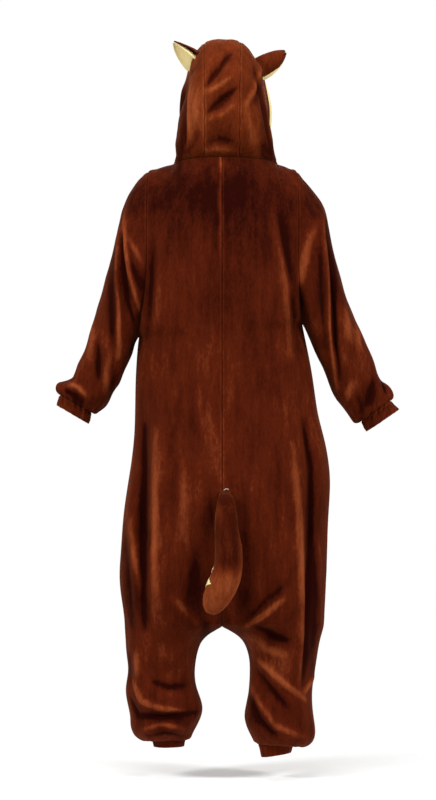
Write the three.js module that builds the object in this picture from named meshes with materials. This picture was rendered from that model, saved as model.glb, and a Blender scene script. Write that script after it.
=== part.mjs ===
// Squirrel onesie, worn and hollow: millimetres, +Z up, the front faces -Y, the wearer's left is +X.
// The origin is the middle of the neck opening, at the level of the neck seam on the shoulders.
import * as THREE from "three";

// Driving sizes
const PLUSH = 2.5; // thickness of the plush cloth
const SEAM_GAP = 0.35; // space between two pieces at a seam
const HALF_GAP = SEAM_GAP / 2;
const DEG = Math.PI / 180;

const NECK = { left: 110, right: 126, middleY: -12, halfDepth: 90, sideZ: 4, backRise: 10, frontDrop: 66 };
const NECK_STEP = 15; // degrees between two corners of the neck seam
const NECK_COLUMNS = 6; // columns of a body panel that end at the neck seam
const SHOULDER_COLUMNS = 2; // columns that end at the shoulder seam
const SIDE_COLUMNS = 2; // extra columns towards the side seam
const COLUMNS = NECK_COLUMNS + SHOULDER_COLUMNS + SIDE_COLUMNS;
const SHOULDER = { left: 170, right: 172, y: -4, z: -15 };
const HOOD_STRIP_HALF = 41; // half width of the strip over the middle of the hood
const CROTCH = { top: -860, bottom: -1062, sideBottom: -1035, rows: 5 };

const COLOUR = { brown: 0x6b2c12, hood: 0x7d3c1c, cream: 0xe8d9a4, button: 0x3b1a0c };

// The seam of the armhole, from the shoulder down to the armpit: the place of the back and front edges.
const ARMHOLE = {
  left: [
    { z: -110, x: 171, back: 84, front: -88 },
    { z: -165, x: 171, back: 93, front: -97 },
    { z: -225, x: 171, back: 95, front: -99 },
    { z: -285, x: 176, back: 90, front: -94 },
    { z: -340, x: 184, back: 72, front: -76 },
    { z: -380, x: 190, back: 40, front: -42 },
    { z: -398, x: 192, back: 0, front: 0 },
  ],
  right: [
    { z: -105, x: 174, back: 84, front: -88 },
    { z: -155, x: 174, back: 93, front: -97 },
    { z: -210, x: 174, back: 95, front: -99 },
    { z: -265, x: 175, back: 90, front: -94 },
    { z: -315, x: 179, back: 72, front: -76 },
    { z: -350, x: 183, back: 40, front: -42 },
    { z: -368, x: 185, back: 0, front: 0 },
  ],
};

// Sections of the body, from the chest down: half widths to each side, and the depth at the middle seams.
const BODY = [
  { z: -110, left: 171, right: 174, back: 116, front: -132 },
  { z: -225, left: 171, right: 174, back: 132, front: -150 },
  { z: -340, left: 186, right: 184, back: 138, front: -156 },
  { z: -400, left: 192, right: 188, back: 138, front: -157 },
  { z: -494, left: 198, right: 206, back: 138, front: -158 },
  { z: -586, left: 200, right: 221, back: 142, front: -160 },
  { z: -660, left: 205, right: 240, back: 150, front: -160 },
  { z: -734, left: 216, right: 248, back: 158, front: -158 },
  { z: -807, left: 226, right: 244, back: 162, front: -155 },
  { z: -881, left: 232, right: 241, back: 160, front: -150 },
  { z: -954, left: 235, right: 239, back: 152, front: -142 },
  { z: -1035, left: 225, right: 235, back: 138, front: -130 },
];
const CHEST_ROWS = [-110, -165, -225, -285, -340, -380, -398];
const WAIST_ROWS = [-440, -490, -540, -590, -640, -690, -735, -780, -820, CROTCH.top];

// Sections of the legs: the side seam, the inseam, and the depths to the back and the front.
const LEGS = {
  left: [
    { sideZ: -1062, inZ: -1082, side: 223, inner: 34, back: 128, front: -120 },
    { sideZ: -1092, inZ: -1105, side: 221, inner: 52, back: 118, front: -112 },
    { sideZ: -1128, inZ: -1136, side: 219, inner: 60, back: 108, front: -104 },
    { sideZ: -1165, inZ: -1170, side: 216, inner: 63, back: 100, front: -98 },
    { sideZ: -1205, inZ: -1205, side: 221, inner: 58, back: 96, front: -95 },
    { sideZ: -1240, inZ: -1240, side: 216, inner: 46, back: 98, front: -96 },
    { sideZ: -1268, inZ: -1268, side: 210, inner: 50, back: 94, front: -92 },
    { sideZ: -1292, inZ: -1292, side: 208, inner: 62, back: 86, front: -86 },
    { sideZ: -1313, inZ: -1308, side: 196, inner: 70, back: 70, front: -70 },
    { sideZ: -1323, inZ: -1316, side: 176, inner: 74, back: 55, front: -55 },
    { sideZ: -1312, inZ: -1316, side: 163, inner: 83, back: 44, front: -44 },
  ],
  right: [
    { sideZ: -1062, inZ: -1082, side: 233, inner: 36, back: 128, front: -120 },
    { sideZ: -1092, inZ: -1105, side: 225, inner: 54, back: 118, front: -112 },
    { sideZ: -1128, inZ: -1136, side: 219, inner: 63, back: 108, front: -104 },
    { sideZ: -1165, inZ: -1170, side: 213, inner: 64, back: 100, front: -98 },
    { sideZ: -1205, inZ: -1205, side: 207, inner: 62, back: 96, front: -95 },
    { sideZ: -1240, inZ: -1240, side: 207, inner: 56, back: 98, front: -96 },
    { sideZ: -1272, inZ: -1270, side: 210, inner: 53, back: 96, front: -94 },
    { sideZ: -1302, inZ: -1298, side: 213, inner: 62, back: 88, front: -88 },
    { sideZ: -1326, inZ: -1318, side: 206, inner: 72, back: 72, front: -72 },
    { sideZ: -1337, inZ: -1324, side: 184, inner: 75, back: 55, front: -55 },
    { sideZ: -1328, inZ: -1329, side: 165, inner: 83, back: 44, front: -44 },
  ],
};

// Sections of the sleeves from the armhole to the cuff: top and underside in the frontal plane, and half depth.
const SLEEVES = {
  left: [
    { topX: 170, topZ: -15, underX: 192, underZ: -398, depth: 92, y: 0 },
    { topX: 204, topZ: -50, underX: 200, underZ: -414, depth: 96, y: -1 },
    { topX: 227, topZ: -106, underX: 205, underZ: -432, depth: 96, y: -2 },
    { topX: 246, topZ: -178, underX: 213, underZ: -450, depth: 94, y: -3 },
    { topX: 264, topZ: -246, underX: 222, underZ: -468, depth: 90, y: -5 },
    { topX: 282, topZ: -310, underX: 230, underZ: -486, depth: 85, y: -7 },
    { topX: 300, topZ: -372, underX: 237, underZ: -504, depth: 79, y: -9 },
    { topX: 317, topZ: -420, underX: 252, underZ: -524, depth: 72, y: -11 },
    { topX: 334, topZ: -462, underX: 262, underZ: -545, depth: 66, y: -13 },
    { topX: 347, topZ: -490, underX: 272, underZ: -558, depth: 61, y: -15 },
    { topX: 376, topZ: -500, underX: 284, underZ: -567, depth: 56, y: -16 },
    { topX: 381, topZ: -519, underX: 293, underZ: -571, depth: 50, y: -17 },
    { topX: 372, topZ: -528, underX: 302, underZ: -566, depth: 43, y: -18 },
  ],
  right: [
    { topX: 172, topZ: -15, underX: 185, underZ: -368, depth: 92, y: 0 },
    { topX: 208, topZ: -58, underX: 196, underZ: -386, depth: 96, y: -1 },
    { topX: 238, topZ: -108, underX: 204, underZ: -406, depth: 96, y: -2 },
    { topX: 252, topZ: -165, underX: 213, underZ: -428, depth: 94, y: -3 },
    { topX: 265, topZ: -224, underX: 224, underZ: -450, depth: 90, y: -5 },
    { topX: 277, topZ: -286, underX: 234, underZ: -472, depth: 85, y: -7 },
    { topX: 301, topZ: -345, underX: 243, underZ: -494, depth: 79, y: -9 },
    { topX: 328, topZ: -404, underX: 252, underZ: -516, depth: 72, y: -11 },
    { topX: 349, topZ: -450, underX: 264, underZ: -540, depth: 66, y: -13 },
    { topX: 365, topZ: -487, underX: 279, underZ: -558, depth: 61, y: -15 },
    { topX: 386, topZ: -508, underX: 295, underZ: -580, depth: 56, y: -16 },
    { topX: 395, topZ: -532, underX: 307, underZ: -593, depth: 50, y: -17 },
    { topX: 386, topZ: -541, underX: 321, underZ: -588, depth: 43, y: -18 },
  ],
};

// Wrist and ankle bands: the sections at the seam and at the open end.
const WRIST_CUFFS = {
  left: [
    { topX: 372, topZ: -528, underX: 302, underZ: -566, depth: 43, y: -18 },
    { topX: 378, topZ: -542, underX: 304, underZ: -583, depth: 42, y: -19 },
    { topX: 381, topZ: -552, underX: 308, underZ: -595, depth: 41, y: -20 },
  ],
  right: [
    { topX: 386, topZ: -541, underX: 321, underZ: -588, depth: 43, y: -18 },
    { topX: 397, topZ: -552, underX: 327, underZ: -602, depth: 42, y: -19 },
    { topX: 408, topZ: -562, underX: 333, underZ: -613, depth: 41, y: -20 },
  ],
};
const ANKLE_CUFFS = {
  left: [
    { topX: 163, topZ: -1312, underX: 83, underZ: -1316, depth: 44, y: 0 },
    { topX: 162, topZ: -1325, underX: 84, underZ: -1326, depth: 43, y: 0 },
    { topX: 160, topZ: -1338, underX: 85, underZ: -1336, depth: 42, y: 0 },
  ],
  right: [
    { topX: 165, topZ: -1328, underX: 83, underZ: -1329, depth: 44, y: 0 },
    { topX: 163, topZ: -1341, underX: 85, underZ: -1345, depth: 43, y: 0 },
    { topX: 161, topZ: -1350, underX: 87, underZ: -1361, depth: 42, y: 0 },
  ],
};

// Arches of the hood from the neck seam at the back to the rim of the face opening.
const HOOD = [
  { y: 78, z: 14, left: 110, right: 126, round: 1.0 },
  { y: 100, z: 44, left: 111, right: 129, round: 0.9 },
  { y: 115, z: 92, left: 109, right: 127, round: 0.82 },
  { y: 118, z: 142, left: 106, right: 124, round: 0.77 },
  { y: 109, z: 194, left: 103, right: 120, round: 0.74 },
  { y: 86, z: 240, left: 101, right: 116, round: 0.71 },
  { y: 46, z: 275, left: 101, right: 116, round: 0.68 },
  { y: 2, z: 289, left: 101, right: 116, round: 0.67 },
  { y: -36, z: 286, left: 104, right: 119, round: 0.68 },
  { y: -66, z: 278, left: 112, right: 127, round: 0.71 },
  { y: -90, z: 266, left: 115, right: 132, round: 0.74 },
];
const RIM_BAND = { reach: 24, flareLeft: -1, flareRight: 6, turnIn: 12, gap: 0.6, endGap: 2.2 };

// Ears: the middle of the base, the way to the tip and the way that the cup opens.
const EARS = {
  left: { base: [72, 4, 243], tip: [0.68, -0.1, 0.73], opening: [0.68, 0.4, -0.6], length: 56, halfWidth: 28 },
  right: { base: [-90, 4, 229], tip: [-0.86, -0.04, 0.5], opening: [-0.1, -0.9, -0.42], length: 64, halfWidth: 27 },
};

const EAR_GRID = { rows: 7, columns: 8, halfTurn: 78 }; // the leaf bends round by this many degrees to each side
const EAR_CLOTH = 2;
const EAR_DROP = 30; // how far above the base the ear is clear of the hood
const EAR_GAP = 0.85; // along the ear, which meets the hood at a slant

// The stuffed tail, from its base on the seat to its tip.
const TAIL = [
  { x: -8, y: 168, z: -744, halfWidth: 15, halfDepth: 9 },
  { x: -9, y: 184, z: -762, halfWidth: 21, halfDepth: 17 },
  { x: -9, y: 194, z: -795, halfWidth: 27, halfDepth: 24 },
  { x: -10, y: 199, z: -830, halfWidth: 30, halfDepth: 27 },
  { x: -14, y: 200, z: -870, halfWidth: 34, halfDepth: 30 },
  { x: -14, y: 200, z: -910, halfWidth: 35, halfDepth: 32 },
  { x: -6, y: 200, z: -948, halfWidth: 39, halfDepth: 34 },
  { x: 4, y: 201, z: -980, halfWidth: 38, halfDepth: 34 },
  { x: 12, y: 203, z: -1006, halfWidth: 31, halfDepth: 28 },
  { x: 16, y: 204, z: -1024, halfWidth: 19, halfDepth: 18 },
];
const TAIL_SIDES = 16;
const TAIL_INNER = { firstRow: 3, lastRow: 8, halfColumns: 4, tooth: 0.7, lift: 0.5, thickness: 2 };

const PLACKET = { halfWidth: 17, thickness: 3, lift: 3.5 };
const BUTTONS = { count: 5, radius: 11, thickness: 4, sides: 24, first: -105, last: -600 };

// Folds: a soft ridge (+) or trough (-) along a line, in the frontal plane. Each list belongs to one piece.
const FOLDS = {
  back_left: [
    { x1: 176, z1: -560, x2: 178, z2: -1080, width: 20, height: -15 },
    { x1: 150, z1: -600, x2: 152, z2: -1020, width: 16, height: 7 },
    { x1: 205, z1: -760, x2: 190, z2: -960, width: 15, height: 6 },
    { x1: 148, z1: -1172, x2: 76, z2: -1176, width: 20, height: -10 },
    { x1: 200, z1: -1150, x2: 120, z2: -1245, width: 18, height: 9 },
    { x1: 180, z1: -1262, x2: 80, z2: -1256, width: 13, height: -9 },
    { x1: 160, z1: -1290, x2: 90, z2: -1282, width: 11, height: 8 },
    { x1: 150, z1: -250, x2: 165, z2: -420, width: 16, height: -5 },
  ],
  back_right: [
    { x1: -186, z1: -590, x2: -196, z2: -1120, width: 20, height: -15 },
    { x1: -150, z1: -640, x2: -184, z2: -1090, width: 16, height: 6 },
    { x1: -55, z1: -1062, x2: -150, z2: -990, width: 16, height: 11 },
    { x1: -64, z1: -1082, x2: -124, z2: -1076, width: 13, height: -8 },
    { x1: -92, z1: -1128, x2: -182, z2: -1202, width: 17, height: 10 },
    { x1: -74, z1: -1190, x2: -180, z2: -1300, width: 16, height: -9 },
    { x1: -150, z1: -260, x2: -172, z2: -440, width: 16, height: -6 },
  ],
  front_left: [
    { x1: 165, z1: -430, x2: 182, z2: -1040, width: 22, height: -13 },
    { x1: 60, z1: -1060, x2: 160, z2: -980, width: 17, height: 9 },
    { x1: 80, z1: -1120, x2: 190, z2: -1190, width: 18, height: 9 },
    { x1: 70, z1: -1240, x2: 190, z2: -1262, width: 15, height: -8 },
  ],
  front_right: [
    { x1: -160, z1: -430, x2: -190, z2: -1080, width: 22, height: -13 },
    { x1: -58, z1: -1056, x2: -150, z2: -960, width: 17, height: 9 },
    { x1: -90, z1: -1150, x2: -185, z2: -1110, width: 18, height: 9 },
    { x1: -70, z1: -1220, x2: -190, z2: -1280, width: 15, height: -8 },
  ],
  sleeve_left: [
    { x1: 218, z1: -115, x2: 196, z2: -330, width: 15, height: 11 },
    { x1: 242, z1: -185, x2: 240, z2: -420, width: 13, height: 9 },
    { x1: 230, z1: -160, x2: 222, z2: -400, width: 12, height: -9 },
    { x1: 352, z1: -545, x2: 330, z2: -505, width: 15, height: -9 },
    { x1: 300, z1: -400, x2: 290, z2: -510, width: 14, height: -7 },
  ],
  sleeve_right: [
    { x1: -226, z1: -120, x2: -214, z2: -380, width: 15, height: 11 },
    { x1: -243, z1: -150, x2: -252, z2: -470, width: 12, height: -10 },
    { x1: -268, z1: -260, x2: -290, z2: -490, width: 15, height: 8 },
    { x1: -352, z1: -480, x2: -346, z2: -560, width: 14, height: -9 },
  ],
  hood_side_left: [
    { x1: 70, z1: 210, x2: 88, z2: 120, width: 14, height: -4 },
  ],
  hood_side_right: [
    { x1: -92, z1: 236, x2: -78, z2: 172, width: 13, height: 5 },
    { x1: -80, z1: 172, x2: -46, z2: 115, width: 14, height: -6 },
  ],
  hood_centre: [
    { x1: -24, z1: 252, x2: 30, z2: 176, width: 13, height: -7 },
    { x1: 36, z1: 156, x2: -24, z2: 196, width: 10, height: 6 },
    { x1: -28, z1: 164, x2: 28, z2: 112, width: 14, height: -9 },
  ],
};

const clamp01 = (value) => Math.min(1, Math.max(0, value));
const smooth = (value) => clamp01(value) ** 2 * (3 - 2 * clamp01(value));
const power = (value, exponent) => Math.sign(value) * Math.abs(value) ** exponent;
const mix = (a, b, share) => a + (b - a) * share;

// Reads one column of a table at a height between its rows, on a smooth curve through them.
function trace(table, key, z) {
  let i = table.findIndex((row) => row.z <= z);
  if (i === -1) i = table.length - 1;
  i = Math.max(1, i);
  const slope = (k) => {
    const before = table[Math.max(0, k - 1)];
    const after = table[Math.min(table.length - 1, k + 1)];
    return (after[key] - before[key]) / (after.z - before.z);
  };
  const above = table[i - 1];
  const below = table[i];
  const span = below.z - above.z;
  const s = clamp01((z - above.z) / span);
  const h = s * s * (3 - 2 * s);
  return (
    mix(above[key], below[key], h) +
    span * (slope(i - 1) * s * (1 - s) ** 2 - slope(i) * s * s * (1 - s))
  );
}

// How far the folds of a piece push a point of its cloth outwards.
function foldHeight(folds, x, z) {
  let height = 0;
  for (const fold of folds) {
    const dx = fold.x2 - fold.x1;
    const dz = fold.z2 - fold.z1;
    const along = ((x - fold.x1) * dx + (z - fold.z1) * dz) / (dx * dx + dz * dz);
    const s = clamp01(along);
    const away = Math.hypot(x - fold.x1 - dx * s, z - fold.z1 - dz * s);
    const taper = 0.35 + 0.65 * Math.sin(Math.PI * s);
    height += fold.height * taper * Math.exp(-((away / fold.width) ** 2));
  }
  return height;
}

// Outward normals of a grid of points. A tube's columns wrap round.
function gridNormals(points, tube, turn) {
  const rows = points.length;
  const columns = points[0].length;
  return points.map((row, i) =>
    row.map((point, j) => {
      const left = tube ? row[(j + columns - 1) % columns] : row[Math.max(0, j - 1)];
      const right = tube ? row[(j + 1) % columns] : row[Math.min(columns - 1, j + 1)];
      const up = points[Math.max(0, i - 1)][j];
      const down = points[Math.min(rows - 1, i + 1)][j];
      const across = right.clone().sub(left);
      const along = down.clone().sub(up);
      return across.cross(along).multiplyScalar(turn).normalize();
    }),
  );
}

// A cloth wall through a grid of outer points: `turn` is +1 or -1 for the side that the faces look to.
// setNormal may fix the direction of the wall at a seam, so that two pieces meet face to face.
// settle may move the finished points of both faces, as where a piece sits on its neighbour.
// flip tells which quads are cut along their other diagonal, as in the corner of a round edge.
function clothWall(
  outer,
  { tube = false, turn = 1, folds = [], setNormal, fade, settle, flip, side = 1, thickness = PLUSH } = {},
) {
  const rows = outer.length;
  const columns = outer[0].length;
  if (folds.length) {
    const flat = gridNormals(outer, tube, turn);
    outer = outer.map((row, i) =>
      row.map((point, j) => {
        const share = (fade ? fade(i, j) : 1) * (flat[i][j].y * side > -0.2 ? 1 : 0);
        return point.clone().addScaledVector(flat[i][j], share * foldHeight(folds, point.x, point.z));
      }),
    );
  }
  const normals = gridNormals(outer, tube, turn);
  if (setNormal) normals.forEach((row, i) => row.forEach((normal, j) => setNormal(normal, i, j, outer[i][j])));
  const positions = [];
  const put = (point, i) => positions.push(...(settle ? settle(point, i) : point).toArray());
  outer.forEach((row, i) => row.forEach((point) => put(point, i)));
  outer.forEach((row, i) => row.forEach((point, j) => put(point.clone().addScaledVector(normals[i][j], -thickness), i)));
  const index = [];
  const at = (inside, i, j) => (inside * rows + i) * columns + (j % columns);
  const quad = (a, b, c, d) => (turn > 0 ? index.push(a, b, c, a, c, d) : index.push(a, c, b, a, d, c));
  const wide = tube ? columns : columns - 1;
  for (let i = 0; i < rows - 1; i += 1) {
    for (let j = 0; j < wide; j += 1) {
      const outside = [at(0, i, j), at(0, i, j + 1), at(0, i + 1, j + 1), at(0, i + 1, j)];
      const inside = [at(1, i, j), at(1, i + 1, j), at(1, i + 1, j + 1), at(1, i, j + 1)];
      if (flip && flip(i, j)) {
        outside.push(outside.shift());
        inside.push(inside.shift());
      }
      quad(...outside);
      quad(...inside);
    }
  }
  for (let j = 0; j < wide; j += 1) {
    quad(at(0, 0, j), at(1, 0, j), at(1, 0, j + 1), at(0, 0, j + 1));
    quad(at(0, rows - 1, j), at(0, rows - 1, j + 1), at(1, rows - 1, j + 1), at(1, rows - 1, j));
  }
  if (!tube) {
    for (let i = 0; i < rows - 1; i += 1) {
      quad(at(0, i, 0), at(0, i + 1, 0), at(1, i + 1, 0), at(1, i, 0));
      quad(at(0, i, wide), at(1, i, wide), at(1, i + 1, wide), at(0, i + 1, wide));
    }
  }
  const geometry = new THREE.BufferGeometry();
  geometry.setAttribute("position", new THREE.Float32BufferAttribute(positions, 3));
  geometry.setIndex(index);
  return { geometry, outer, normals };
}

const onesie = new THREE.Group();
function addPiece(name, geometry, colour) {
  const material = new THREE.MeshStandardMaterial({ color: colour, roughness: 0.9, metalness: 0 });
  const mesh = new THREE.Mesh(geometry, material);
  mesh.name = name;
  onesie.add(mesh);
}

// The neck seam: a ring of straight stretches, from the middle of the back (0) to the middle of the front (180).
function neckCorner(side, degrees) {
  const angle = degrees * DEG;
  const forward = -Math.cos(angle);
  return new THREE.Vector3(
    (side > 0 ? NECK.left : -NECK.right) * Math.sin(angle),
    NECK.middleY - NECK.halfDepth * forward,
    NECK.sideZ + (forward < 0 ? -NECK.backRise * forward : -NECK.frontDrop * forward ** 1.4),
  );
}
function neckPoint(side, degrees) {
  const first = Math.min(180 - NECK_STEP, Math.floor(degrees / NECK_STEP) * NECK_STEP);
  return neckCorner(side, first).lerp(neckCorner(side, first + NECK_STEP), (degrees - first) / NECK_STEP);
}
// At the neck seam the walls of the body and of the hood both look up and outwards.
function neckNormal(point) {
  return new THREE.Vector3(point.x / 118, (point.y - NECK.middleY) / 118, 0).normalize().setZ(0.75).normalize();
}

// One row of points across a body panel, from the middle seam to the side.
function bodySection(row, share) {
  const { middleAngle, sideAngle } = row;
  const angle = mix(-middleAngle, sideAngle, share) * DEG;
  const wide = power(Math.sin(angle), row.squareX);
  const deep = Math.cos(angle) ** row.squareY;
  const z = mix(row.sideZ, row.middleZ, (1 - share) ** 1.3);
  if (middleAngle === 0) {
    const sideDeep = Math.cos(sideAngle * DEG) ** row.squareY;
    return {
      x: (row.sideX * wide) / Math.sin(sideAngle * DEG) ** row.squareX,
      y: mix(row.sideY, row.middleY, (deep - sideDeep) / (1 - sideDeep)),
      z,
    };
  }
  const reach = Math.sin(middleAngle * DEG) ** row.squareX;
  const half = (row.sideX - row.inner) / (1 + reach);
  return { x: row.sideX - half + half * wide, y: row.middleY * deep, z };
}

function bodyRows(side, facing) {
  const key = side > 0 ? "left" : "right";
  const depth = facing > 0 ? "back" : "front";
  const rows = [];
  CHEST_ROWS.forEach((middleZ, k) => {
    const hole = ARMHOLE[key][k];
    const low = k / (CHEST_ROWS.length - 1);
    rows.push({
      middleZ, middleY: trace(BODY, depth, middleZ), middleAngle: 0, inner: 0,
      sideZ: hole.z, sideX: hole.x, sideY: hole[depth],
      sideAngle: mix(52, 90, smooth(low * 1.15)), squareX: 0.86, squareY: 0.82,
    });
  });
  WAIST_ROWS.forEach((z, k) => {
    const drop = (1 - (k + 1) / WAIST_ROWS.length) ** 1.5;
    rows.push({
      middleZ: z, middleY: trace(BODY, depth, z), middleAngle: 0, inner: 0,
      sideZ: z + drop * (side > 0 ? 0 : 22), sideX: trace(BODY, key, z), sideY: 0,
      sideAngle: 90, squareX: 0.84, squareY: 0.8,
    });
  });
  for (let k = 1; k <= CROTCH.rows; k += 1) {
    const turn = (90 * k) / CROTCH.rows;
    const sideZ = mix(CROTCH.top, CROTCH.sideBottom, k / CROTCH.rows);
    rows.push({
      middleZ: mix(CROTCH.top, CROTCH.bottom, Math.sin(turn * DEG)), middleAngle: turn, inner: 0,
      middleY: trace(BODY, depth, sideZ), sideZ, sideX: trace(BODY, key, sideZ), sideY: 0,
      sideAngle: 90, squareX: 0.84, squareY: 0.8,
    });
  }
  for (const leg of LEGS[key]) {
    rows.push({
      middleZ: leg.inZ, middleAngle: 90, inner: leg.inner, middleY: leg[depth],
      sideZ: leg.sideZ, sideX: leg.side, sideY: 0, sideAngle: 90, squareX: 0.88, squareY: 0.86,
    });
  }
  return rows;
}

// The upper edge of a body panel: the neck seam, then the shoulder seam.
function topEdge(side, facing, column) {
  if (column <= NECK_COLUMNS) {
    const turn = (90 * column) / NECK_COLUMNS;
    return neckPoint(side, facing > 0 ? turn : 180 - turn);
  }
  const share = (column - NECK_COLUMNS) / (COLUMNS - NECK_COLUMNS);
  const tip = new THREE.Vector3(side > 0 ? SHOULDER.left : -SHOULDER.right, SHOULDER.y, SHOULDER.z);
  return neckPoint(side, 90).lerp(tip, share);
}

const YOKE_ROWS = 4;
const YOKE_CURVE = { start: 1.15, end: 0.9 }; // how strongly the cloth leaves the neck and arrives on the chest
const ARMPIT_ROW = YOKE_ROWS + CHEST_ROWS.length - 1;
const ARMHOLE_ROWS = ARMPIT_ROW + 1;

function bodyPanel(name, side, facing) {
  const sections = bodyRows(side, facing);
  const shareOf = (column) => {
    const even = column / COLUMNS;
    return mix(even, Math.sin((even * Math.PI) / 2) ** 0.9, 0.25);
  };
  const place = (section, column) => {
    const point = bodySection(section, shareOf(column));
    return new THREE.Vector3(side * point.x, point.y, point.z);
  };
  const grid = [];
  for (let k = 0; k < YOKE_ROWS; k += 1) {
    const s = k / YOKE_ROWS;
    const row = [];
    for (let j = 0; j <= COLUMNS; j += 1) {
      const from = topEdge(side, facing, j);
      const to = place(sections[0], j);
      const reach = from.distanceTo(to);
      const flat = smooth(j / NECK_COLUMNS);
      const leave = new THREE.Vector3(0, facing * mix(0.5, 1, flat), mix(-0.85, -0.12, flat)).setLength(reach * YOKE_CURVE.start);
      const arrive = new THREE.Vector3(0, facing * 0.12, -1).setLength(reach * YOKE_CURVE.end);
      const point = from.clone().multiplyScalar(2 * s ** 3 - 3 * s ** 2 + 1);
      point.addScaledVector(leave, s ** 3 - 2 * s ** 2 + s);
      point.addScaledVector(to, 3 * s ** 2 - 2 * s ** 3);
      point.addScaledVector(arrive, s ** 3 - s ** 2);
      row.push(point);
    }
    grid.push(row);
  }
  for (const section of sections) {
    const row = [];
    for (let j = 0; j <= COLUMNS; j += 1) row.push(place(section, j));
    grid.push(row);
  }
  const last = grid.length - 1;
  const crotchRow = YOKE_ROWS + CHEST_ROWS.length + WAIST_ROWS.length + CROTCH.rows - 1;
  // Each seam edge is pulled in by half the seam's gap.
  grid.forEach((row, i) => {
    if (i <= crotchRow) row[0].x = side * HALF_GAP;
    if (i >= crotchRow) row[0].y = facing * HALF_GAP;
    if (i >= ARMPIT_ROW) row[COLUMNS].y = facing * HALF_GAP;
  });
  for (let j = NECK_COLUMNS; j <= COLUMNS; j += 1) grid[0][j].y += facing * HALF_GAP;
  const ankle = ANKLE_CUFFS[side > 0 ? "left" : "right"];
  const setNormal = (normal, i, j, point) => {
    if (i === 0 && j <= NECK_COLUMNS) {
      normal.copy(neckNormal(point));
      if (j === 0) normal.x = 0;
      if (j === NECK_COLUMNS) normal.y = 0;
      normal.normalize();
      return;
    }
    if (i === 0) normal.y = 0;
    if (j === 0) normal[i > crotchRow ? "y" : "x"] = 0;
    if (i === last) turnOutwards(normal, point, bandMiddle(side, ankle[0]), bandMiddle(side, ankle[2]));
    if (i === crotchRow && j === 0) normal.set(0, 0, -1);
    if (j === COLUMNS && i === ARMPIT_ROW) normal.set(0.3 * side, 0, -1);
    else if (j === COLUMNS && i > 0 && i < ARMPIT_ROW) {
      // round the armhole the wall looks straight out of its ring
      const step = grid[i + 1][COLUMNS].clone().sub(grid[i - 1][COLUMNS]);
      normal.set(0, -step.z * facing, step.y * facing);
    } else if (j === COLUMNS && i === 0) normal.x = 0;
    else if (j === COLUMNS) normal.y = 0;
    normal.normalize();
  };
  const fade = (i, j) => smooth(j / 1.6) * smooth((COLUMNS - j) / 1.6) * smooth(i / 2) * smooth((last - i) / 1.5);
  const panel = clothWall(grid, { turn: side * facing, folds: FOLDS[name], setNormal, fade, side: facing });
  addPiece(name, panel.geometry, COLOUR.brown);
  return panel;
}

// An oval section of a sleeve or a band.
function ovalPoint(side, row, angle) {
  const middleX = (row.topX + row.underX) / 2;
  const middleZ = (row.topZ + row.underZ) / 2;
  const up = power(Math.cos(angle), 0.92);
  const back = power(Math.sin(angle), 0.92);
  return new THREE.Vector3(
    side * (middleX + ((row.topX - row.underX) / 2) * up),
    row.y + row.depth * back,
    middleZ + ((row.topZ - row.underZ) / 2) * up,
  );
}

function bandMiddle(side, row) {
  return new THREE.Vector3((side * (row.topX + row.underX)) / 2, row.y, (row.topZ + row.underZ) / 2);
}
// Where puffed cloth turns in under a band, its wall looks half along its own normal and half straight out
// from the band, so that neither wall crosses itself at the seam.
function turnOutwards(normal, point, from, to) {
  const axis = to.clone().sub(from).normalize();
  const out = point.clone().sub(from);
  out.addScaledVector(axis, -out.dot(axis)).normalize();
  normal.add(out).normalize();
}

function sleeve(name, side, backPanel, frontPanel) {
  const rows = SLEEVES[side > 0 ? "left" : "right"];
  // The armhole ring: down the back edge, then up the front edge.
  const ring = [];
  const ringNormals = [];
  for (let i = 0; i < ARMHOLE_ROWS; i += 1) {
    ring.push(backPanel.outer[i][COLUMNS].clone());
    ringNormals.push(backPanel.normals[i][COLUMNS].clone());
  }
  for (let i = ARMHOLE_ROWS - 2; i > 0; i -= 1) {
    ring.push(frontPanel.outer[i][COLUMNS].clone());
    ringNormals.push(frontPanel.normals[i][COLUMNS].clone());
  }
  ring[0].y = SHOULDER.y;
  ring[ARMHOLE_ROWS - 1].y = 0;
  const angles = [0];
  for (let j = 1; j < ring.length; j += 1) angles.push(angles[j - 1] + ring[j].distanceTo(ring[j - 1]));
  const half = angles[ARMHOLE_ROWS - 1];
  const whole = angles[ring.length - 1] + ring[0].distanceTo(ring[ring.length - 1]);
  const turn = angles.map((a) => (a <= half ? (Math.PI * a) / half : Math.PI * (1 + (a - half) / (whole - half))));
  const grid = rows.map((row, k) =>
    ring.map((point, j) => {
      const oval = ovalPoint(side, row, turn[j]);
      const keep = 1 - smooth(k / 4);
      return oval.addScaledVector(point.clone().sub(ovalPoint(side, rows[0], turn[j])), keep);
    }),
  );
  grid[0].forEach((point) => (point.x += side * SEAM_GAP));
  const last = rows.length - 1;
  const wrist = WRIST_CUFFS[side > 0 ? "left" : "right"];
  const setNormal = (normal, i, j, point) => {
    if (i === 0) normal.copy(ringNormals[j]);
    if (i === last) turnOutwards(normal, point, bandMiddle(side, wrist[0]), bandMiddle(side, wrist[2]));
  };
  const fade = (i) => smooth(i / 1.5) * smooth((last - i) / 2);
  const piece = clothWall(grid, { tube: true, turn: -side, folds: FOLDS[name], setNormal, fade });
  addPiece(name, piece.geometry, COLOUR.brown);
  return piece;
}

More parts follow.
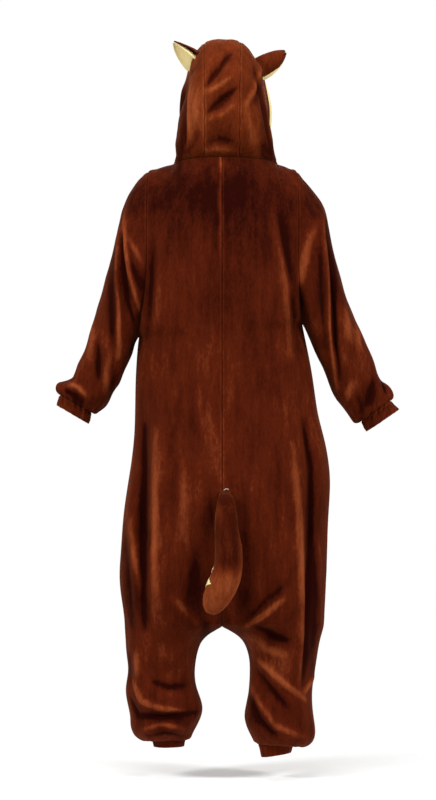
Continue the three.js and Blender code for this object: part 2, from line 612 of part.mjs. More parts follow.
// A wrist or ankle band: its seam end repeats the last ring of the sleeve or leg, a gap further on.
function band(name, side, rows, seamRing, seamNormals) {
  const grid = rows.map((row, k) =>
    seamRing.map((point, j) => {
      const angle = Math.atan2(
        (point.y - rows[0].y) / rows[0].depth,
        ((point.z - (rows[0].topZ + rows[0].underZ) / 2) * (rows[0].topZ - rows[0].underZ) +
          (side * point.x - (rows[0].topX + rows[0].underX) / 2) * (rows[0].topX - rows[0].underX)) /
          ((rows[0].topX - rows[0].underX) ** 2 + (rows[0].topZ - rows[0].underZ) ** 2) * 2,
      );
      if (k === 0) return point.clone();
      return ovalPoint(side, row, angle);
    }),
  );
  const middle = (ring) => ring.reduce((sum, point) => sum.add(point), new THREE.Vector3()).divideScalar(ring.length);
  const axis = middle(grid[2]).sub(middle(grid[0])).normalize();
  grid[0].forEach((point) => point.addScaledVector(axis, SEAM_GAP));
  const setNormal = (normal, i, j) => {
    if (i === 0) normal.copy(seamNormals[j]);
  };
  addPiece(name, clothWall(grid, { tube: true, turn: -side, setNormal }).geometry, COLOUR.brown);
}

const panels = {};
for (const [key, side] of [["left", 1], ["right", -1]]) {
  panels[`back_${key}`] = bodyPanel(`back_${key}`, side, 1);
  panels[`front_${key}`] = bodyPanel(`front_${key}`, side, -1);
}
for (const [key, side] of [["left", 1], ["right", -1]]) {
  const back = panels[`back_${key}`];
  const front = panels[`front_${key}`];
  const arm = sleeve(`sleeve_${key}`, side, back, front);
  const end = arm.outer.length - 1;
  band(`cuff_wrist_${key}`, side, WRIST_CUFFS[key], arm.outer[end], arm.normals[end]);
  const foot = back.outer.length - 1;
  // The leg's last ring: across the back from the side seam to the inseam, and back across the front.
  const ring = [];
  const normals = [];
  for (let j = COLUMNS; j >= 0; j -= 1) {
    ring.push(back.outer[foot][j].clone());
    normals.push(back.normals[foot][j]);
  }
  for (let j = 1; j < COLUMNS; j += 1) {
    ring.push(front.outer[foot][j].clone());
    normals.push(front.normals[foot][j]);
  }
  ring[0].y = 0;
  ring[COLUMNS].y = 0;
  band(`cuff_ankle_${key}`, side, ANKLE_CUFFS[key], ring, normals);
}

// A point of the hood: arch `r` (0 at the neck seam, 10 at the rim), at an angle down from its top.
function hoodPoint(side, r, degrees) {
  const row = HOOD[r];
  const seam = neckPoint(side, 90 + (r * NECK_STEP) / 2);
  const angle = degrees * DEG;
  const wide = row[side > 0 ? "left" : "right"];
  const narrow = 1 - Math.abs(seam.x) / wide;
  const spread = Math.sin(angle) ** row.round * (1 - narrow * (degrees / 90) ** 6);
  const up = Math.max(0, Math.cos(angle)) ** mix(row.round, 1, 0.3);
  const arch = new THREE.Vector3(side * wide * spread, mix(seam.y, row.y, up), mix(seam.z, row.z, up));
  const flat = new THREE.Vector3(
    side * wide * Math.sin(angle),
    mix(neckPoint(side, 90).y, row.y, Math.cos(angle)),
    mix(neckPoint(side, 90).z, row.z, Math.cos(angle)),
  );
  if (r > 0) return arch;
  return arch.add(neckPoint(side, degrees)).sub(flat);
}
// The angle at which an arch meets the seam of the middle strip.
function stripAngle(side, r) {
  const row = HOOD[r];
  const wide = row[side > 0 ? "left" : "right"];
  return Math.asin((HOOD_STRIP_HALF / wide) ** (1 / row.round)) / DEG;
}
const HOOD_LAST = HOOD.length - 1;
const HOOD_ANGLES = [30, 37.5, 45, 52.5, 60, 67.5, 75, 82.5, 90]; // down from the top to the neck seam
const HOOD_TOP_ANGLE = 22; // where these angles start to be spread between the strip's seam and the neck seam

function hoodSide(name, side) {
  const grid = HOOD.map((_, r) => {
    const first = stripAngle(side, r);
    return [first, ...HOOD_ANGLES].map((angle, j) => {
      const stretched = mix(first, 90, j === 0 ? 0 : (angle - HOOD_TOP_ANGLE) / (90 - HOOD_TOP_ANGLE));
      const point = hoodPoint(side, r, r === 0 || j === 0 ? angle : stretched);
      if (j === 0) point.x += side * HALF_GAP;
      if (r === 0 || angle === 90) point.z += SEAM_GAP;
      return point;
    });
  });
  const end = HOOD_ANGLES.length;
  const setNormal = (normal, i, j, point) => {
    if (i === 0 || j === end) normal.copy(neckNormal(point));
    if (j === 0) normal.x = 0;
    normal.normalize();
  };
  const fade = (i, j) => smooth(i / 1.5) * smooth(j / 1.5) * smooth((end - j) / 1.5) * smooth((HOOD_LAST - i) / 1.5);
  const flip = (i, j) => j === end - 1;
  const piece = clothWall(grid, { turn: -side, folds: FOLDS[name], setNormal, fade, flip });
  addPiece(name, piece.geometry, COLOUR.hood);
  return piece;
}
const hoodSides = { left: hoodSide("hood_side_left", 1), right: hoodSide("hood_side_right", -1) };

// The strip over the middle of the hood runs between the two seams.
const STRIP_COLUMNS = 6;
const stripGrid = HOOD.map((row, r) => {
  const points = [];
  for (let j = 0; j <= STRIP_COLUMNS; j += 1) {
    const share = 1 - (2 * j) / STRIP_COLUMNS;
    const side = share >= 0 ? 1 : -1;
    const first = stripAngle(side, r);
    const inside = hoodPoint(side, r, first * Math.abs(share) ** (1 / row.round));
    inside.x = share * (HOOD_STRIP_HALF - HALF_GAP);
    if (Math.abs(share) === 1) {
      const seam = hoodSides[side > 0 ? "left" : "right"].outer[r][0];
      inside.set(seam.x - side * SEAM_GAP, seam.y, seam.z);
    } else if (r === 0) inside.z += SEAM_GAP;
    points.push(inside);
  }
  return points;
});
const strip = clothWall(stripGrid, {
  turn: 1,
  folds: FOLDS.hood_centre,
  fade: (i, j) => smooth(i / 1.5) * smooth(j / 1.5) * smooth((STRIP_COLUMNS - j) / 1.5) * smooth((HOOD_LAST - i) / 1.5),
  setNormal: (normal, i, j, point) => {
    if (i === 0) normal.copy(neckNormal(point));
    if (j === 0 || j === STRIP_COLUMNS) normal.x = 0;
    normal.normalize();
  },
});
addPiece("hood_centre", strip.geometry, COLOUR.hood);

// The band round the face opening starts at the rim, reaches forwards, flares and turns in.
// Each of its ends stops one point short of the neck seam.
const rimPoints = [
  ...hoodSides.left.outer[HOOD_LAST].slice(0, -1).reverse(),
  ...strip.outer[HOOD_LAST].slice(1, STRIP_COLUMNS),
  ...hoodSides.right.outer[HOOD_LAST].slice(0, -1),
];
const rimNormals = [
  ...hoodSides.left.normals[HOOD_LAST].slice(0, -1).reverse(),
  ...strip.normals[HOOD_LAST].slice(1, STRIP_COLUMNS),
  ...hoodSides.right.normals[HOOD_LAST].slice(0, -1),
];
const faceMiddle = new THREE.Vector3(-6, 0, 110);
// The way across the rim's seam, square to the rim and to its wall.
const rimStep = rimPoints.map((point, j) => {
  const tangent = rimPoints[Math.min(rimPoints.length - 1, j + 1)].clone().sub(rimPoints[Math.max(0, j - 1)]);
  if (Math.min(j, rimPoints.length - 1 - j) < 3) return new THREE.Vector3(0, -RIM_BAND.endGap, 0);
  const step = tangent.cross(rimNormals[j]).normalize();
  return step.multiplyScalar(step.y < 0 ? RIM_BAND.gap : -RIM_BAND.gap);
});
const bandGrid = [0, 0.35, 0.75, 1].map((share) =>
  rimPoints.map((point, j) => {
    const outward = new THREE.Vector3(point.x - faceMiddle.x, 0, point.z - faceMiddle.z).normalize();
    const flare = point.x > 0 ? RIM_BAND.flareLeft : RIM_BAND.flareRight;
    const bulge = flare * Math.sin(Math.PI * Math.min(1, share * 1.1)) - RIM_BAND.turnIn * share ** 3;
    return point
      .clone()
      .add(rimStep[j])
      .add(new THREE.Vector3(0, -RIM_BAND.reach * share, 0))
      .addScaledVector(outward, bulge);
  }),
);
const rimBand = clothWall(bandGrid, {
  turn: 1,
  setNormal: (normal, i, j) => {
    if (i === 0) normal.copy(rimNormals[j]);
    if (Math.min(j, rimPoints.length - 1 - j) < 3) normal.lerp(rimNormals[j], 0.6).setY(0).normalize();
  },
});
addPiece("hood_front_band", rimBand.geometry, COLOUR.cream);

// An ear is a cupped leaf: the brown back, and the cream lining made from its points, moved into the cup.
function ear(key) {
  const { base, tip, opening, length, halfWidth } = EARS[key];
  const along = new THREE.Vector3(...tip).normalize();
  const open = new THREE.Vector3(...opening);
  open.addScaledVector(along, -open.dot(along)).normalize();
  const across = new THREE.Vector3().crossVectors(along, open);
  const { rows, columns, halfTurn } = EAR_GRID;
  // The base is sewn onto the hood: each of its points goes straight down the ear to the hood's cloth.
  const hood = onesie.getObjectByName(`hood_side_${key}`);
  hood.material.side = THREE.DoubleSide;
  const settle = (point, i) => {
    if (i > 0) return point;
    const from = point.clone().addScaledVector(along, EAR_DROP);
    const [hit] = new THREE.Raycaster(from, along.clone().negate()).intersectObject(hood);
    return hit.point.addScaledVector(along, EAR_GAP);
  };
  const grid = [];
  for (let i = 0; i <= rows; i += 1) {
    const a = i / rows;
    const wide = halfWidth * (1.12 - 0.2 * a) * Math.sqrt(Math.max(0.06, 1 - a ** 2.2));
    const row = [];
    for (let j = 0; j <= columns; j += 1) {
      const b = ((2 * j) / columns - 1) * halfTurn * DEG;
      row.push(
        new THREE.Vector3(...base)
          .addScaledVector(along, length * a)
          .addScaledVector(across, wide * Math.sin(b))
          .addScaledVector(open, wide * (0.55 - 0.9 * Math.cos(b))),
      );
    }
    grid.push(row);
  }
  const back = clothWall(grid, { turn: -1, thickness: EAR_CLOTH, settle });
  addPiece(`ear_back_${key}`, back.geometry, COLOUR.brown);
  const setNormal = (normal, i, j) => normal.copy(back.normals[i][j]);
  const inside = grid.map((row, i) =>
    row.map((point, j) => point.clone().addScaledVector(back.normals[i][j], -EAR_CLOTH - SEAM_GAP)),
  );
  const lining = clothWall(inside, { turn: -1, thickness: EAR_CLOTH, settle, setNormal });
  addPiece(`ear_inner_${key}`, lining.geometry, COLOUR.cream);
}
ear("left");
ear("right");

// The tail is stuffed solid: rings of points closed by a cap at the base and at the tip.
const tailRings = TAIL.map((row) => {
  const ring = [];
  for (let j = 0; j < TAIL_SIDES; j += 1) {
    const angle = (2 * Math.PI * j) / TAIL_SIDES;
    ring.push(
      new THREE.Vector3(row.x + row.halfWidth * Math.sin(angle), row.y - row.halfDepth * Math.cos(angle), row.z),
    );
  }
  return ring;
});
const tailNormals = gridNormals(tailRings, true, -1);
const tailPositions = tailRings.flat().flatMap((point) => point.toArray());
const tailIndex = [];
const tipRing = (TAIL.length - 1) * TAIL_SIDES;
const baseMiddle = TAIL.length * TAIL_SIDES;
const tip = TAIL[TAIL.length - 1];
tailPositions.push(TAIL[0].x, TAIL[0].y, TAIL[0].z + 6);
tailPositions.push(tip.x, tip.y, tip.z - 9);
for (let j = 0; j < TAIL_SIDES; j += 1) {
  const next = (j + 1) % TAIL_SIDES;
  for (let i = 0; i < TAIL.length - 1; i += 1) {
    const a = i * TAIL_SIDES + j;
    const b = i * TAIL_SIDES + next;
    tailIndex.push(a, a + TAIL_SIDES, b, b, a + TAIL_SIDES, b + TAIL_SIDES);
  }
  tailIndex.push(baseMiddle, j, next);
  tailIndex.push(baseMiddle + 1, tipRing + next, tipRing + j);
}
const tailGeometry = new THREE.BufferGeometry();
tailGeometry.setAttribute("position", new THREE.Float32BufferAttribute(tailPositions, 3));
tailGeometry.setIndex(tailIndex);
addPiece("tail", tailGeometry, COLOUR.brown);

// Its cream side lies on the face towards the body, made from the tail's points, moved out, with zigzag edges.
function onTail(grid, i, j) {
  const row = Math.min(TAIL.length - 2, Math.floor(i));
  const column = Math.floor(j);
  const corner = (r, c) => grid[r][(c + TAIL_SIDES) % TAIL_SIDES];
  const upper = corner(row, column).clone().lerp(corner(row, column + 1), j - column);
  return upper.lerp(corner(row + 1, column).clone().lerp(corner(row + 1, column + 1), j - column), i - row);
}
const creamPoints = [];
const creamNormals = [];
for (let i = TAIL_INNER.firstRow; i <= TAIL_INNER.lastRow; i += 0.5) {
  const reach = TAIL_INNER.halfColumns - (Number.isInteger(i) ? TAIL_INNER.tooth : 0);
  const columns = [-reach];
  for (let j = 1 - TAIL_INNER.halfColumns; j < TAIL_INNER.halfColumns; j += 1) columns.push(j);
  columns.push(reach);
  const normals = columns.map((j) => onTail(tailNormals, i, j).normalize());
  creamNormals.push(normals);
  const lift = TAIL_INNER.lift + TAIL_INNER.thickness;
  creamPoints.push(columns.map((j, k) => onTail(tailRings, i, j).addScaledVector(normals[k], lift)));
}
const tailInner = clothWall(creamPoints, {
  turn: -1,
  thickness: TAIL_INNER.thickness,
  setNormal: (normal, i, j) => normal.copy(creamNormals[i][j]),
});
addPiece("tail_inner", tailInner.geometry, COLOUR.cream);

// Button stand: a strip laid on the middle of the front, made from the front panels' points, moved out.
const FRONT_ROWS = { first: 1, last: YOKE_ROWS + CHEST_ROWS.length + 4 };
const stand = [];
for (let i = FRONT_ROWS.first; i <= FRONT_ROWS.last; i += 1) {
  const onPanel = (key) => {
    const { outer, normals } = panels[`front_${key}`];
    const share = PLACKET.halfWidth / Math.abs(outer[i][1].x);
    const point = outer[i][0].clone().lerp(outer[i][1], share);
    return point.addScaledVector(normals[i][0].clone().lerp(normals[i][1], share).normalize(), PLACKET.lift);
  };
  const { outer, normals } = panels.front_left;
  const middle = outer[i][0].clone().setX(0).addScaledVector(normals[i][0], PLACKET.lift);
  stand.push([onPanel("right"), middle, onPanel("left")]);
}
const placket = clothWall(stand, { turn: -1, thickness: PLACKET.thickness });
addPiece("front_placket", placket.geometry, COLOUR.brown);

// Round buttons stand on the strip, each square to the cloth under it.
for (let k = 0; k < BUTTONS.count; k += 1) {
  const z = mix(BUTTONS.first, BUTTONS.last, k / (BUTTONS.count - 1));
  const i = placket.outer.findIndex((row) => row[1].z < z);
  const above = placket.outer[i - 1][1];
  const below = placket.outer[i][1];
  const seat = above.clone().lerp(below, (z - above.z) / (below.z - above.z));
  const slope = Math.atan2(below.y - above.y, above.z - below.z);
  const button = new THREE.CylinderGeometry(BUTTONS.radius, BUTTONS.radius, BUTTONS.thickness, BUTTONS.sides);
  button.rotateX(slope);
  const out = new THREE.Vector3(0, -Math.cos(slope), Math.sin(-slope)).multiplyScalar(BUTTONS.thickness / 2 + 0.4);
  button.translate(seat.x + out.x, seat.y + out.y, seat.z + out.z);
  addPiece(`button_${k + 1}`, button, COLOUR.button);
}

export default onesie;
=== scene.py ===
# Squirrel onesie from behind: plush cloth, padded tail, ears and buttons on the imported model.
# Metres, +Z up. The back of the onesie faces +Y and its left sleeve is on the +X side.
import math

import bmesh
import bpy
import numpy as np
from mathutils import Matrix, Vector, kdtree
from mathutils.bvhtree import BVHTree


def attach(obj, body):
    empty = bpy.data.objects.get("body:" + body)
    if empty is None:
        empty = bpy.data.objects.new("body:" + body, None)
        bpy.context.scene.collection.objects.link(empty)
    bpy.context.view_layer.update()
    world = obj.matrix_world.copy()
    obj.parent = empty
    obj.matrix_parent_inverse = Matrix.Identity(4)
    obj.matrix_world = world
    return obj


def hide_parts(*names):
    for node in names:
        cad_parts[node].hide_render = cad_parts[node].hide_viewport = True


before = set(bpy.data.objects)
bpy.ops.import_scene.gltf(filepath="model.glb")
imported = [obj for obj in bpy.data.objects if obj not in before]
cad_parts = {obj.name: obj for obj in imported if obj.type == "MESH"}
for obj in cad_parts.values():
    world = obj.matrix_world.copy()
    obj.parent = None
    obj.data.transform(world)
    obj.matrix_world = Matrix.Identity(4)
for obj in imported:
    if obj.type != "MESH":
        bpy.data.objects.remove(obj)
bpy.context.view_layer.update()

MM = 0.001
CLOTH = 2.2 * MM
WALL = {"plush": 2.5, "ear": 2.0, "placket": 3.0}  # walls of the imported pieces, in mm
WALL_TOLERANCE = 0.02
WELD = 1.2 * MM
FLOOR_Z = -1.41

# Camera: the photo is 436 x 800 pixels, 2.3 mm a pixel at the garment, seen square from behind.
VIEW = {"mm_per_pixel": 2.3, "width": 436, "height": 800, "zero_u": 222, "zero_v": 165, "distance": 8.0}

BODY = [
    "back_left", "back_right", "front_left", "front_right", "sleeve_left", "sleeve_right",
    "cuff_wrist_left", "cuff_wrist_right", "cuff_ankle_left", "cuff_ankle_right",
]
HOOD = ["hood_side_left", "hood_side_right", "hood_centre"]


def table(columns, rows):
    return [dict(zip(columns, row)) for row in rows]


# Folds, in mm: a ridge (+) or a valley (-) along a path of (x, z) points in the frontal plane.
FOLD_COLUMNS = ("width", "height", "path")
BACK_FOLDS = table(FOLD_COLUMNS, [
    # body, left side
    (8, -13, [(177, -600), (178, -760), (180, -900), (176, -1060)]),
    (9, 4.5, [(152, -610), (151, -780), (154, -930), (150, -1050)]),
    (9, 5, [(209, -800), (197, -905), (176, -985)]),
    (9, -5, [(222, -850), (212, -960), (205, -1060)]),
    (9, -4, [(158, -175), (160, -270), (170, -400)]),
    (10, 2.5, [(140, -150), (143, -260), (150, -380)]),
    (14, -2, [(120, -560), (112, -700), (118, -840)]),
    (13, 2, [(95, -620), (88, -760), (92, -900)]),
    (12, -3, [(60, -900), (75, -990), (70, -1060)]),
    # body, right side
    (7, -13, [(-186, -585), (-202, -700), (-199, -860), (-195, -1069), (-188, -1150), (-184, -1190)]),
    (8, 5, [(-160, -640), (-174, -800), (-183, -1000), (-179, -1200)]),
    (12, -6, [(-208, -860), (-212, -1000), (-206, -1190)]),
    (11, -6, [(-129, -115), (-146, -200), (-161, -280)]),
    (11, 4, [(-116, -110), (-134, -220), (-156, -448)]),
    (8, -4, [(-160, -300), (-168, -380), (-180, -450)]),
    (14, -2, [(-118, -560), (-128, -700), (-120, -860)]),
    # seat and thighs
    (7, 8, [(-53, -1052), (-99, -1023), (-139, -989)]),
    (9, -9, [(-76, -1052), (-122, -1078), (-151, -1087)]),
    (9, 4, [(-64, -1069), (-99, -1104), (-145, -1121)]),
    (8, -4, [(-58, -1036), (-100, -992), (-150, -955)]),
    (6, 7, [(-84, -1133), (-110, -1156), (-156, -1196), (-191, -1225)]),
    (8, -6, [(-78, -1156), (-105, -1190), (-151, -1242)]),
    (8, 5, [(-67, -1190), (-84, -1230), (-122, -1282), (-191, -1311)]),
    (7, -8, [(-64, -1215), (-84, -1265), (-122, -1303)]),
    (5, 5, [(-214, -1167), (-201, -1190), (-188, -1208)]),
    (9, 4, [(54, -1052), (84, -1012), (112, -985)]),
    (8, -7, [(160, -1179), (120, -1193), (79, -1190)]),
    (8, -6, [(212, -1110), (214, -1150), (212, -1196)]),
    (8, 4, [(194, -1110), (192, -1150), (191, -1173)]),
    (6, 8, [(203, -1179), (183, -1225), (143, -1239), (85, -1248)]),
    (7, -10, [(212, -1219), (192, -1259), (131, -1260), (56, -1253)]),
    (6, 6, [(177, -1290), (137, -1278), (85, -1288)]),
    (5, -4, [(171, -1306), (131, -1298), (91, -1307)]),
    # sleeve, left
    (5, 8, [(221, -108), (223, -150), (220, -196), (212, -251), (200, -297), (186, -343)]),
    (5, 7, [(235, -150), (239, -209), (241, -264), (237, -315), (235, -416), (237, -448)]),
    (6, -10, [(229, -160), (227, -218), (222, -264), (212, -322), (198, -361)]),
    (9, -6, [(248, -180), (253, -264), (251, -356), (250, -420)]),
    (6, 5, [(214, -168), (198, -200), (177, -237)]),
    (6, -6, [(207, -228), (196, -255), (182, -288)]),
    (5, 4, [(216, -301), (202, -338), (193, -366)]),
    (5, -6, [(189, -391), (200, -412), (209, -430)]),
    (7, 4, [(297, -370), (300, -420), (304, -458)]),
    (8, -6, [(285, -414), (284, -450), (283, -499)]),
    (8, 4, [(262, -448), (264, -490), (267, -529)]),
    (8, -4, [(244, -472), (250, -505), (258, -536)]),
    (5, -5, [(343, -486), (358, -493), (374, -497)]),
    (7, -9, [(361, -517), (340, -531), (320, -552)]),
    (6, 5, [(350, -504), (327, -513), (308, -536)]),
    # sleeve, right
    (5, 7, [(-230, -108), (-232, -172), (-239, -241), (-243, -310), (-245, -380), (-255, -448),
      (-264, -517)]),
    (6, -11, [(-239, -117), (-244, -184), (-251, -253), (-254, -333), (-258, -414), (-269, -494)]),
    (10, 6, [(-218, -136), (-196, -186), (-184, -241), (-179, -283)]),
    (8, -5, [(-223, -195), (-228, -310), (-235, -425)]),
    (6, -5, [(-175, -278), (-180, -315), (-186, -352)]),
    (8, 4, [(-278, -322), (-286, -370), (-292, -414)]),
    (6, 3, [(-306, -373), (-311, -400), (-315, -425)]),
    (9, -7, [(-347, -494), (-340, -527), (-331, -559)]),
    (8, 4, [(-297, -499), (-290, -520), (-287, -545)]),
    (5, -8, [(-368, -488), (-374, -510), (-379, -527)]),
    (7, -4, [(-312, -530), (-318, -560), (-322, -580)]),
])
FRONT_FOLDS = table(FOLD_COLUMNS, [
    (11, -8, [(168, -430), (176, -700), (182, -1040)]),
    (12, 4, [(145, -450), (150, -720), (158, -1020)]),
    (11, -8, [(-162, -430), (-186, -700), (-190, -1080)]),
    (12, 4, [(-140, -450), (-158, -720), (-164, -1040)]),
    (11, -4, [(130, -120), (140, -220), (158, -330)]),
    (11, -4, [(-130, -120), (-142, -220), (-158, -320)]),
    (9, 5, [(60, -1055), (105, -1010), (160, -985)]),
    (9, -4, [(66, -1078), (110, -1060), (165, -1062)]),
    (9, 5, [(-58, -1052), (-100, -1005), (-152, -962)]),
    (9, -4, [(-64, -1078), (-110, -1062), (-170, -1066)]),
    (9, 5, [(80, -1120), (130, -1150), (192, -1188)]),
    (9, 5, [(-88, -1152), (-130, -1140), (-186, -1110)]),
    (8, -6, [(70, -1238), (130, -1258), (192, -1262)]),
    (8, -6, [(-70, -1222), (-130, -1262), (-192, -1280)]),
    (7, 4, [(76, -1270), (130, -1284), (180, -1280)]),
    (9, -6, [(226, -130), (228, -260), (222, -400)]),
    (8, 5, [(246, -200), (252, -330), (250, -470)]),
    (8, -5, [(300, -420), (318, -480), (330, -530)]),
    (9, -6, [(-228, -130), (-236, -260), (-240, -420)]),
    (8, 5, [(-250, -200), (-264, -330), (-276, -480)]),
    (8, -5, [(-310, -430), (-330, -490), (-350, -550)]),
    (14, 2, [(40, -300), (60, -420), (50, -560)]),
    (14, 2, [(-44, -330), (-62, -450), (-50, -600)]),
])
HOOD_FOLDS = table(FOLD_COLUMNS, [
    (6, -8, [(-23, 256), (4, 216), (38, 172)]),
    (6, 5, [(38, 156), (6, 172), (-28, 198)]),
    (6, -10, [(-34, 168), (0, 140), (32, 112)]),
    (8, 4, [(34, 96), (4, 104), (-30, 132)]),
    (7, 5, [(38, 27), (4, 30), (-30, 27)]),
    (7, -3, [(38, 44), (4, 50), (-30, 46)]),
    (7, 5, [(-92, 238), (-84, 200), (-74, 165), (-46, 115)]),
    (8, -4, [(-100, 220), (-92, 180), (-70, 130)]),
    (6, -8, [(-71, 218), (-90, 150), (-102, 92), (-109, 34)]),
    (5, 3, [(-84, 200), (-98, 150), (-110, 90), (-116, 50)]),
    (9, -7, [(-96, 34), (-106, 24), (-116, 14)]),
    (4, -6, [(80, 214), (85, 120), (84, 40)]),
    (6, 3, [(72, 204), (75, 120), (76, 40)]),
    (10, 3, [(-60, 96), (-72, 50), (-70, 14)]),
    (8, -4, [(72, 214), (84, 160), (86, 108)]),
    (9, 3, [(54, 180), (62, 130), (58, 80)]),
    (8, -4, [(92, 110), (96, 60), (96, 16)]),
    (8, -3, [(52, 70), (64, 40), (82, 22)]),
    (6, -3, [(48, 236), (60, 216), (76, 204)]),
])

# Gathers: ripples that run into the seam of each cuff. `rise` is how far they reach up the sleeve or leg.
GATHERS = table(("x", "y", "z", "ripples", "height", "rise"), [
    (337, -18, -547, 19, 2.6, 26),
    (-354, -18, -565, 19, 2.6, 26),
    (123, 0, -1314, 21, 2.4, 24),
    (-124, 0, -1328, 21, 2.4, 24),
])
# Slow waves of hanging cloth: lengths in mm across, up and through the body, and heights in mm.
WAVES = table(("x", "y", "z", "phase", "height"), [
    (140, 190, 900, 0.3, 0.8),
    (83, 150, -520, 1.9, 0.6),
    (-57, 110, 310, 4.1, 0.45),
    (41, -90, 170, 2.2, 0.3),
    (210, 80, 120, 5.0, 0.35),
    (29, 60, -95, 0.9, 0.2),
])
# A gather starts `start` mm from the middle of its cuff, is whole at `full`, and leaves the seam flat.
GATHER = {"start": 120, "full": 60, "off_seam": 3}
# The left rim of the hood swells over the cream band by `out` mm. Each pair says where that begins and where
# it is whole: in x, in height from below and from above, and in distance from the open edge.
RIM_SWELL = {"out": 8.5, "side": (82, 94), "low": (10, 50), "high": (225, 175), "edge": (2, 24)}
SEAM = {"depth": 1.0, "width": 2.6, "roll": 0.6, "roll_at": 7.0, "roll_width": 4.0}
NECK_HOLD = 22.0  # how far up the hood its foot is eased onto the neck seam, in mm

# A fold fades towards a seam between two distances, in mm, to a share of its height.
FOLD_FADE = {"near": 2, "far": 26, "left": 0.35}
FOLD_ENDS = 0.25  # the share of its height that a fold keeps at both ends
# Painted light on the folds: ridges are painted lighter and valleys darker, in step with their height.
CREST_SHADE = {"height": 8, "low": -1, "high": 0.55}  # the fold height that counts as 1, and the mark's limits
TURN = 0.25  # how far a normal leans back or forward where the two sides of the cloth change over
SMOOTH = 3  # levels of smoothing
SIZE_STEPS = 3
SIZE_GAIN = 0.8
SAME_POINT = 1e-5
CUT_EDGE = math.radians(50)  # sharper than this, an edge of the cloth is shaded as cut
FAR = 40.0  # a seam distance that reads as no seam, in mm

# Soft patches on the back, painted darker (-) or lighter (+), in mm: partly how the pile lies,
# partly painted shade and light, such as the shadows beside the tail and the shade in creases.
PATCH_COLUMNS = ("x", "z", "across", "up", "tone")
PILE_AND_SHADE_PATCHES = table(PATCH_COLUMNS, [
    (0, -70, 260, 95, -0.40),
    (-30, -260, 150, 130, -0.19),
    (95, -330, 60, 160, -0.05),
    (0, -500, 130, 150, -0.07),
    (-255, -240, 50, 150, -0.24),
    (240, -430, 55, 80, 0.14),
    (-280, -430, 50, 80, 0.14),
    (225, -230, 60, 160, -0.05),
    (120, -1180, 70, 90, -0.04),
    (125, -1280, 80, 50, -0.22),
    (-125, -1275, 80, 60, -0.22),
    (-120, -1120, 60, 70, 0.16),
    (0, 130, 34, 50, -0.34),
    (0, 60, 30, 30, -0.14),
    (75, 60, 35, 60, 0.06),
    (-108, 28, 20, 20, -0.5),
    (-101, 95, 9, 70, -0.4),
    (98, 110, 9, 95, -0.8),
    (-54, -850, 11, 75, -0.42),
    (-48, -990, 16, 36, -0.35),
    (28, -796, 12, 45, -0.45),
    (58, -945, 14, 90, -0.36),
    (36, -1062, 13, 34, -0.5),
    (-20, -1040, 16, 24, -0.15),
    (198, -120, 24, 50, -0.15),
    (247, -260, 14, 90, -0.22),
    (200, -412, 9, 14, -0.5),
    (-249, -240, 10, 110, -0.3),
    (-290, -330, 24, 100, -0.08),
    (330, -538, 16, 12, -0.3),
    (-340, -528, 12, 24, -0.2),
    (-125, -1080, 26, 14, -0.25),
    (-80, -1262, 16, 34, -0.22),
])
# Pile pushed up along the centre-back seam: a light stripe that fades out down the back.
STRIPE = {"x": 3, "stop": 15, "full": -105, "end": -280, "width": 5, "tone": 0.5, "wander": 1.5, "wave": 17}


# Cloth
def select_only(obj):
    for other in bpy.context.selected_objects:
        other.select_set(False)
    obj.select_set(True)
    bpy.context.view_layer.objects.active = obj


def new_object(name, mesh):
    obj = bpy.data.objects.new(name, mesh)
    bpy.context.collection.objects.link(obj)
    return obj


def apply_modifier(obj, modifier):
    select_only(obj)
    bpy.ops.object.modifier_apply(modifier=modifier.name)


def modified(obj, kind, **settings):
    """Adds a modifier with these settings and applies it."""
    modifier = obj.modifiers.new(kind.lower(), kind)
    for key, value in settings.items():
        setattr(modifier, key, value)
    apply_modifier(obj, modifier)


def opened(mesh):
    bm = bmesh.new()
    bm.from_mesh(mesh)
    return bm


def closed(bm, name):
    mesh = bpy.data.meshes.new(name)
    bm.to_mesh(mesh)
    bm.free()
    return mesh


def largest_patch(bm):
    """Keeps the connected patch of faces with the largest area: the outer side of the wall."""
    left = set(bm.faces)
    best, best_area = [], 0
    while left:
        start = left.pop()
        patch, todo = [start], [start]
        while todo:
            for edge in todo.pop().edges:
                for face in edge.link_faces:
                    if face in left:
                        left.discard(face)
                        patch.append(face)
                        todo.append(face)
        area = sum(face.calc_area() for face in patch)
        if area > best_area:
            best, best_area = patch, area
    keep = set(best)
    bmesh.ops.delete(bm, geom=[f for f in bm.faces if f not in keep], context="FACES")


def outer_sheet(name, wall, sharp=None):
    """The outer side of a packed cloth wall, in four-sided faces. Every edge across the wall is as long
    as the wall is thick, so the faces of the rim are the ones with such an edge."""
    bm = opened(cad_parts[name].data)
    bmesh.ops.remove_doubles(bm, verts=bm.verts, dist=SAME_POINT)
    rim = set()
    for edge in bm.edges:
        if abs(edge.calc_length() / MM - wall) < WALL_TOLERANCE:
            rim.update(edge.link_faces)
    bmesh.ops.delete(bm, geom=list(rim), context="FACES")
    if sharp:
        cut = [e for e in bm.edges if len(e.link_faces) == 2 and e.calc_face_angle(0) > sharp]
        bmesh.ops.split_edges(bm, edges=cut)
    largest_patch(bm)
    bmesh.ops.join_triangles(
        bm, faces=bm.faces, angle_face_threshold=math.radians(60), angle_shape_threshold=math.radians(100)
    )
    return bm


def join_sheets(names, wall):
    """One mesh of several outer sheets, welded along their seams. material_index tells the pieces apart."""
    whole = bmesh.new()
    for number, name in enumerate(names):
        sheet = outer_sheet(name, wall)
        for face in sheet.faces:
            face.material_index = number
        mesh = closed(sheet, "outer")
        whole.from_mesh(mesh)
        bpy.data.meshes.remove(mesh)
    edge_points = [v for v in whole.verts if v.is_boundary]
    bmesh.ops.remove_doubles(whole, verts=edge_points, dist=WELD)
    bmesh.ops.recalc_face_normals(whole, faces=whole.faces)
    return whole


